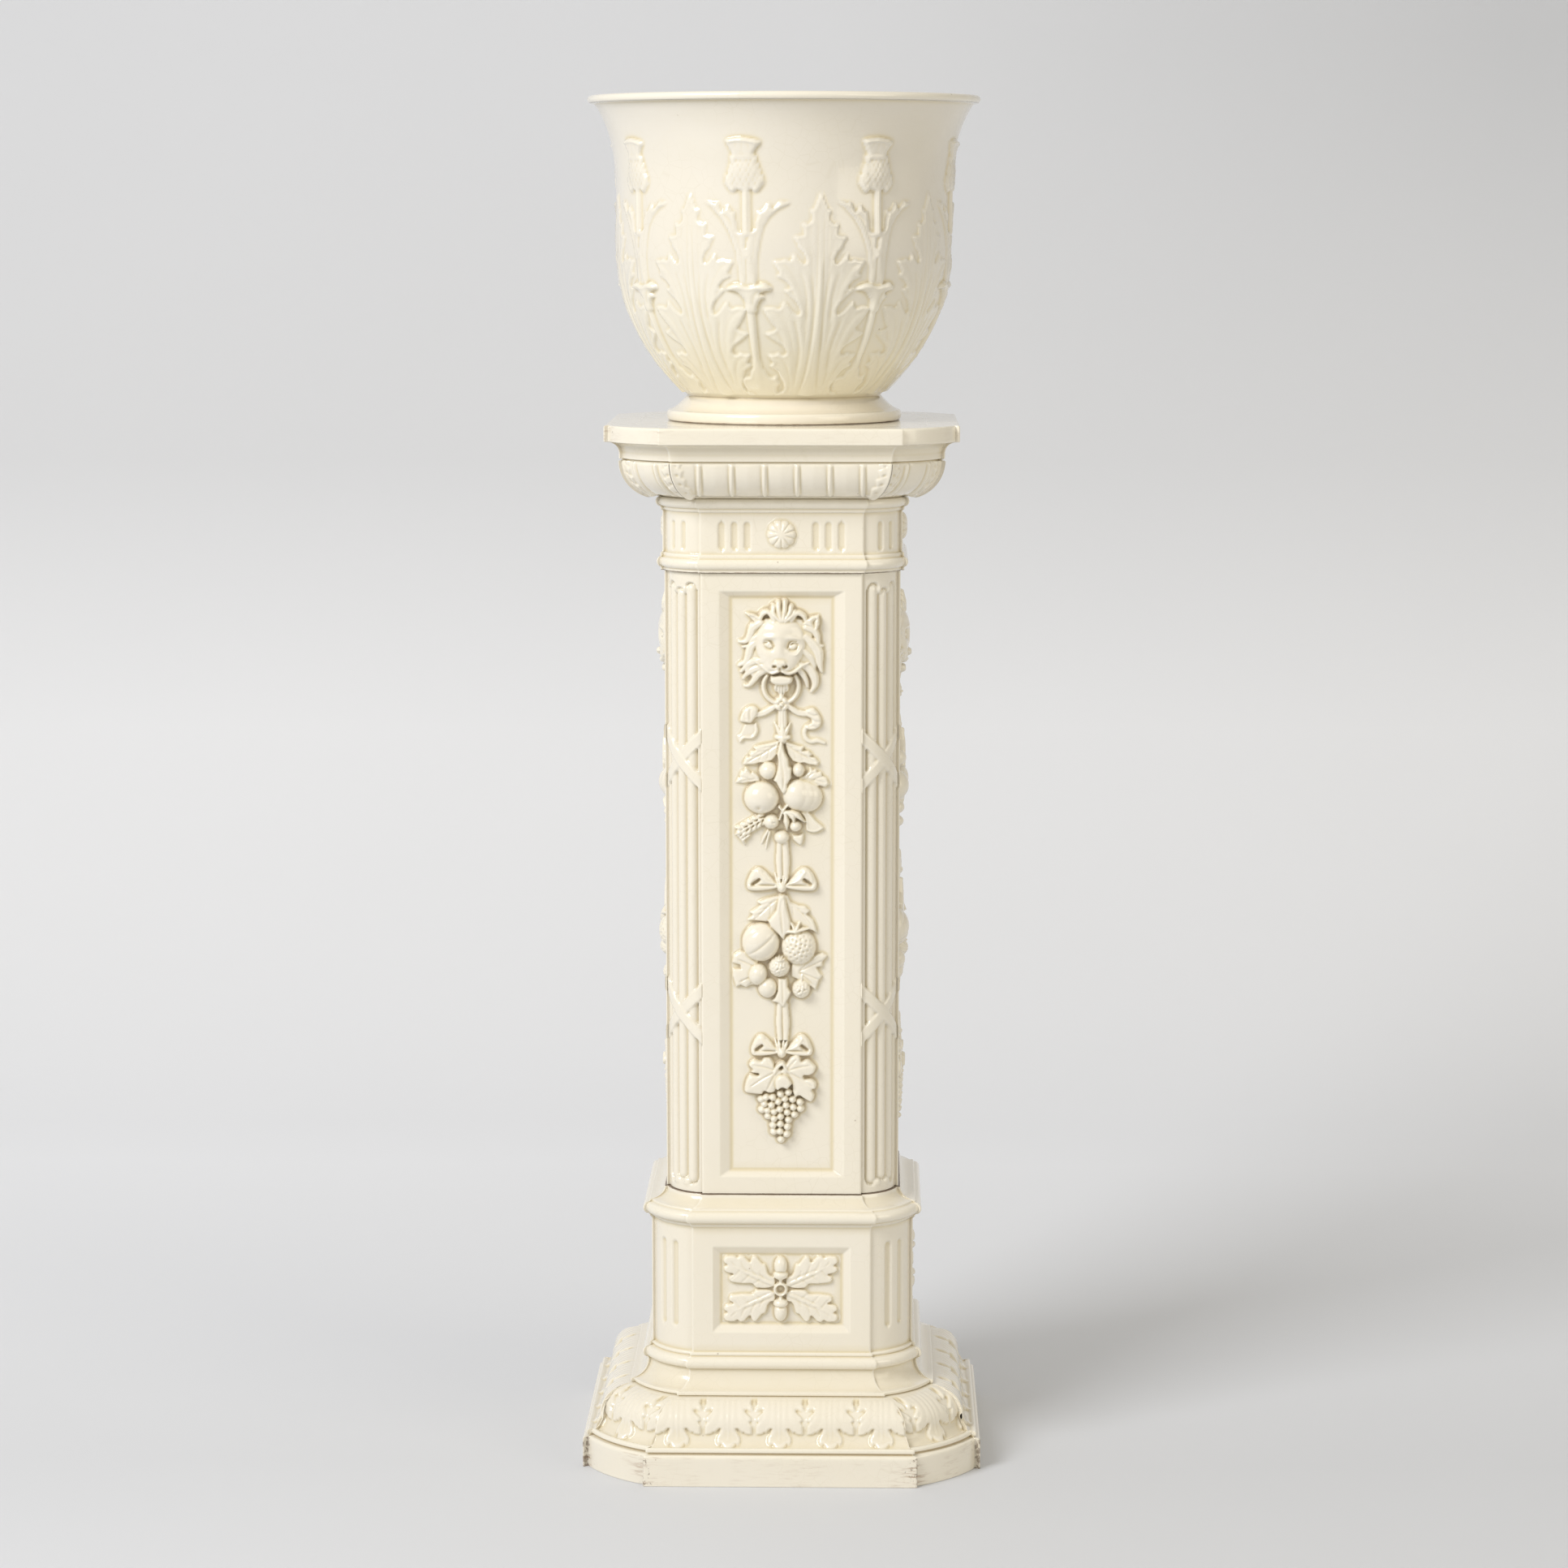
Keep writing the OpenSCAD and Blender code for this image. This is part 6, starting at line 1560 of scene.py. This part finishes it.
def glaze(scene, name):
    """Cream glaze: pale on arrises, honey where it pools, faintly clouded and crazed, dirty in its chips"""
    known = bpy.data.materials.get(name)
    if known:
        return known
    look = group_of(scene, "glaze")
    material = bpy.data.materials.new(name)
    material.use_nodes = True
    s = Shader(material.node_tree)
    place = s.node("ShaderNodeTexCoord", output="Object")
    pool, soil = s.attribute("pool"), s.attribute("soil")
    cloud = s.noise(place, 9, 4, 0.55)
    mottle = s.noise(place, 70, 3, 0.6)
    hollow = s.span(pool + (mottle - 0.5) * 0.12, 0.03, 0.62) ** 0.9 * look.pooling
    arris = s.span(pool * -1, 0.12, 0.7)
    clouds = (cloud - 0.36) * 2.2 * look.clouding
    colour = s.mixed(clouds, tone(look.cream), tone(look.cream, 0.965, 0.94, 0.84))
    height = s.node("ShaderNodeSeparateXYZ", inputs=[place], output="Z")
    if name == "jardiniere_cream_glaze":
        # yellower from the belly down to the waist, and pale again on the foot
        belly_z, waist_z, foot_z, band_z = 1.02, 0.905, 0.9036, 0.9026
        colour = s.mixed(1, colour, tone(look.pot_shade), "MULTIPLY")
        foot = s.span(height, foot_z, band_z)
        waist = s.span(height, belly_z, waist_z) * (0.55 + mottle * 0.3) * (1 - foot)
        colour = s.mixed(waist.clipped(), colour, tone(look.cream, 1.06, 1.05, 0.92))
        colour = s.mixed(foot * 0.6, colour, tone(look.pale, 1.0, 0.97, 0.95))
    colour = s.mixed(arris * 0.5, colour, tone(look.pale))
    colour = s.mixed(hollow.clipped(), colour, tone(look.honey))
    deep = s.span(pool, 0.66, 1.0)
    colour = s.mixed(deep * 0.4, colour, tone(look.grime, 2))
    # fine net of cracks, only in some places
    cells = s.node("ShaderNodeTexVoronoi", {"feature": "DISTANCE_TO_EDGE"}, {"Vector": place, "Scale": 95})
    craze = s.span(cells, 0.035, 0.0) * s.span(s.noise(place, 13), 0.42, 0.62)
    colour = s.mixed((craze * look.crazing).clipped(), colour, tone(look.honey, 0.72))
    # specks in the glaze
    specks = s.node("ShaderNodeTexVoronoi", {"feature": "F1"}, {"Vector": place, "Scale": 55})
    speck = s.span(specks, 0.05, 0.035) * s.span(s.noise(place, 31, 0), 0.6, 0.64)
    colour = s.mixed((speck * 0.45).clipped(), colour, tone(look.grime, 1.6))
    # chips and grime along the plinth and the slab, and painted shadow along the dry joints and round the
    # bottom of the jardiniere's foot
    streak = s.node("ShaderNodeMapping", {"vector_type": "POINT"}, {"Vector": place, "Scale": (60, 60, 420)})
    scuff = s.span(s.noise(streak, 1.0, 4, 0.6), 0.5, 0.68) * s.span(s.noise(place, 24, 2), 0.46, 0.6)
    chip = s.span(s.noise(place, 260, 3, 0.7) + soil * 0.115, 0.78, 0.86) * s.span(soil, 0.3, 1.2)
    rub = (scuff * soil).clipped() * 0.7
    colour = s.mixed(rub, colour, tone(look.grime, 2.4))
    colour = s.mixed((chip * 0.7).clipped(), colour, tone(look.grime))
    # painted shadow where the mark is strongest, along the dry joints and round the jardiniere's foot; at the
    # plinth's mitres it is real staining
    colour = s.mixed(s.span(soil, 2.4, 4.6) * 0.85, colour, tone(look.grime))
    # the surface: slow waves of the hand-poured glaze, and fine orange peel
    waves = s.noise(place, 38, 2) * 0.9 + s.noise(place, 210, 2) * 0.16 - chip * 0.5
    normal = s.node("ShaderNodeBump", {}, {"Strength": 0.35, "Distance": 0.0007, "Height": waves})
    roughness = (mottle * 0.08 + (look.roughness - 0.04) + chip * 0.5 + rub * 0.2).clipped()
    surface = s.node("ShaderNodeBsdfPrincipled", {}, {
        "Base Color": colour, "Roughness": roughness, "Normal": normal, "IOR": 1.5,
        "Coat Weight": 0.55, "Coat Roughness": 0.06, "Coat IOR": 1.5})
    s.node("ShaderNodeOutputMaterial", {}, {"Surface": surface})
    return material


# ---- Stage ----

def build_stage(scene):
    look = group_of(scene, "stage")
    camera = placed(scene, "camera", bpy.data.cameras.new("camera"))
    camera.data.lens, camera.data.sensor_width, camera.data.clip_end = look.lens, 36, 50
    camera.location = (look.distance * sin(look.yaw), -look.distance * cos(look.yaw), look.eye_height)
    camera.rotation_euler = (pi / 2 - look.pitch, 0, look.yaw)
    scene.camera = camera

    def lamp(name, power, size, place, aim, colour=(1, 1, 1)):
        light = bpy.data.lights.new(name, "AREA")
        light.color = colour
        light.energy, light.shape, light.size, light.size_y = power, "RECTANGLE", *size
        shone = placed(scene, name, light)
        shone.location = place
        away = [p - a for p, a in zip(place, aim)]
        shone.rotation_euler = (atan2(hypot(away[0], away[1]), away[2]), 0, atan2(away[0], -away[1]))

    lamp("key_lamp", look.key_power, (1.6, 1.6), (-2.1, -2.2, 2.7), (0, 0, 0.6))
    lamp("fill_lamp", look.fill_power, (2.0, 2.0), (2.8, -2.2, 1.5), (0, 0, 0.5), (1, 0.91, 0.72))

    scene.world = scene.world or bpy.data.worlds.new("surroundings")
    scene.world.use_nodes = True
    s = Shader(scene.world.node_tree)
    rays = s.node("ShaderNodeLightPath", output="Is Camera Ray")
    room = s.node("ShaderNodeBackground", {}, {"Color": (1, 0.955, 0.86, 1), "Strength": look.sky})
    seen = s.node("ShaderNodeBackground", {}, {"Color": (0.82, 0.82, 0.82, 1), "Strength": 1})
    s.node("ShaderNodeOutputWorld", {}, {"Surface": s.node("ShaderNodeMixShader", {}, [rays, room, seen])})

    # floor that sweeps up into the backdrop
    reach, sweep_y, sweep_r, backdrop_h = 9, 1.2, 1.4, 7
    bend = np.linspace(0.1, pi / 2, 14)
    y = np.concatenate([[-reach], np.linspace(-4, sweep_y, 12), sweep_y + sweep_r * np.sin(bend),
                        [sweep_y + sweep_r]])
    z = np.concatenate([np.zeros(13), sweep_r * (1 - np.cos(bend)), [backdrop_h]])
    x = np.linspace(-reach, reach, 13)
    points = [(a, b, c) for b, c in zip(y, z) for a in x]
    n = len(x)
    quads = [(i * n + j, i * n + j + 1, (i + 1) * n + j + 1, (i + 1) * n + j)
             for i in range(len(y) - 1) for j in range(n - 1)]
    mesh = bpy.data.meshes.new("floor")
    mesh.from_pydata(points, [], quads)
    mesh.polygons.foreach_set("use_smooth", [True] * len(mesh.polygons))
    floor = placed(scene, "floor", mesh)
    material = bpy.data.materials.new("pale_floor")
    material.use_nodes = True
    s = Shader(material.node_tree)
    place = s.node("ShaderNodeTexCoord", output="Object")
    across, depth, height = (s.node("ShaderNodeSeparateXYZ", inputs=[place], output=axis) for axis in "XYZ")
    # painted light: the floor turns lighter towards the backdrop, and painted shade darkens the backdrop high
    # up, more so on the right
    painted_shade_up_high = s.span(height, 0.35, 0.7) * 0.5 + s.span(height, 0.7, 1.3) * s.span(across, 0, 1) * 0.4
    painted_light_falloff = s.span(depth, -0.1, 1.0) * 0.76 + 0.2 - painted_shade_up_high
    patchy = s.noise(place, 3, 5, 0.6)
    colour = s.mixed(painted_light_falloff - patchy * 0.06, tone(look.floor_tint), tone(look.backdrop_tint))
    surface = s.node("ShaderNodeBsdfPrincipled", {}, {"Base Color": colour, "Roughness": 0.75})
    # from behind, the backdrop is looked through, so that the stand is seen from all sides
    behind = s.node("ShaderNodeNewGeometry", output="Backfacing")
    clear = s.node("ShaderNodeBsdfTransparent")
    s.node("ShaderNodeOutputMaterial", {}, {"Surface": s.node("ShaderNodeMixShader", {},
                                                              [behind, surface, clear])})
    mesh.materials.append(material)


# ---- Operators ----

class JARDINIERE_OT_base(Operator):
    """Build the base, with its leaf band, sunk panels and fluted corners"""
    bl_idname = "jardiniere.base"
    bl_label = "Base"

    def execute(self, context):
        build_base(context.scene)
        return {"FINISHED"}


class JARDINIERE_OT_oak_reliefs(Operator):
    """Lay the oak leaves and acorns in the panels of the base"""
    bl_idname = "jardiniere.oak_reliefs"
    bl_label = "Oak reliefs"

    def execute(self, context):
        s = Stand(context.scene)
        build_reliefs(context.scene, oak_relief(), s.die_w - s.panel_depth, "oak_relief", "base", s.relief)
        return {"FINISHED"}


class JARDINIERE_OT_shaft(Operator):
    """Build the shaft, with its sunk panels, reeded corners and crossed ribbons"""
    bl_idname = "jardiniere.shaft"
    bl_label = "Shaft"

    def execute(self, context):
        build_shaft(context.scene)
        return {"FINISHED"}


class JARDINIERE_OT_festoons(Operator):
    """Lay the lion masks and the three lengths of festoon on the panels of the shaft"""
    bl_idname = "jardiniere.festoons"
    bl_label = "Festoons"

    def execute(self, context):
        s = Stand(context.scene)
        for name, relief in (("lion_mask", lion_mask), ("upper_festoon", upper_festoon),
                             ("lower_festoon", lower_festoon), ("grape_festoon", grape_festoon)):
            build_reliefs(context.scene, relief(), s.shaft_w - s.panel_depth, name, "shaft", s.relief)
        return {"FINISHED"}


class JARDINIERE_OT_capital(Operator):
    """Build the capital, with its fluted frieze and ribbed bowl moulding"""
    bl_idname = "jardiniere.capital"
    bl_label = "Capital"

    def execute(self, context):
        build_capital(context.scene)
        return {"FINISHED"}


class JARDINIERE_OT_rosettes(Operator):
    """Lay the rosettes on the frieze"""
    bl_idname = "jardiniere.rosettes"
    bl_label = "Rosettes"

    def execute(self, context):
        s = Stand(context.scene)
        build_reliefs(context.scene, rosette(s), s.frieze_w, "rosette", "capital")
        return {"FINISHED"}


class JARDINIERE_OT_pot(Operator):
    """Build the jardiniere, with its thistles and acanthus leaves"""
    bl_idname = "jardiniere.pot"
    bl_label = "Jardiniere"

    def execute(self, context):
        build_jardiniere(context.scene)
        return {"FINISHED"}


class JARDINIERE_OT_stage(Operator):
    """Set up the camera, the lamps and the floor"""
    bl_idname = "jardiniere.stage"
    bl_label = "Stage"

    def execute(self, context):
        build_stage(context.scene)
        return {"FINISHED"}


OPERATORS = (JARDINIERE_OT_base, JARDINIERE_OT_oak_reliefs, JARDINIERE_OT_shaft, JARDINIERE_OT_festoons,
             JARDINIERE_OT_capital, JARDINIERE_OT_rosettes, JARDINIERE_OT_pot, JARDINIERE_OT_stage)


class JARDINIERE_PT_sidebar(Panel):
    """Sizes, colours and pieces of the jardiniere on its stand"""
    bl_label = "Jardiniere on a pedestal"
    bl_idname = "JARDINIERE_PT_sidebar"
    bl_space_type = "VIEW_3D"
    bl_region_type = "UI"
    bl_category = "Jardiniere"

    def draw(self, context):
        for key, group_class in GROUPS.items():
            box = self.layout.box()
            box.label(text=key.capitalize())
            for name in group_class.__annotations__:
                box.prop(group_of(context.scene, key), name)
        for operator in OPERATORS:
            self.layout.operator(operator.bl_idname)


def register():
    for each in (*GROUPS.values(), *OPERATORS, JARDINIERE_PT_sidebar):
        bpy.utils.register_class(each)
    for key, group_class in GROUPS.items():
        setattr(bpy.types.Scene, "jardiniere_" + key, PointerProperty(type=group_class))


def unregister():
    for key in GROUPS:
        delattr(bpy.types.Scene, "jardiniere_" + key)
    for each in (JARDINIERE_PT_sidebar, *reversed(OPERATORS), *reversed(list(GROUPS.values()))):
        bpy.utils.unregister_class(each)


def main():
    register()
    bpy.context.scene.view_settings.view_transform = "Standard"
    for operator in OPERATORS:
        family, name = operator.bl_idname.split(".")
        getattr(getattr(bpy.ops, family), name)()


if __name__ == "__main__":
    main()
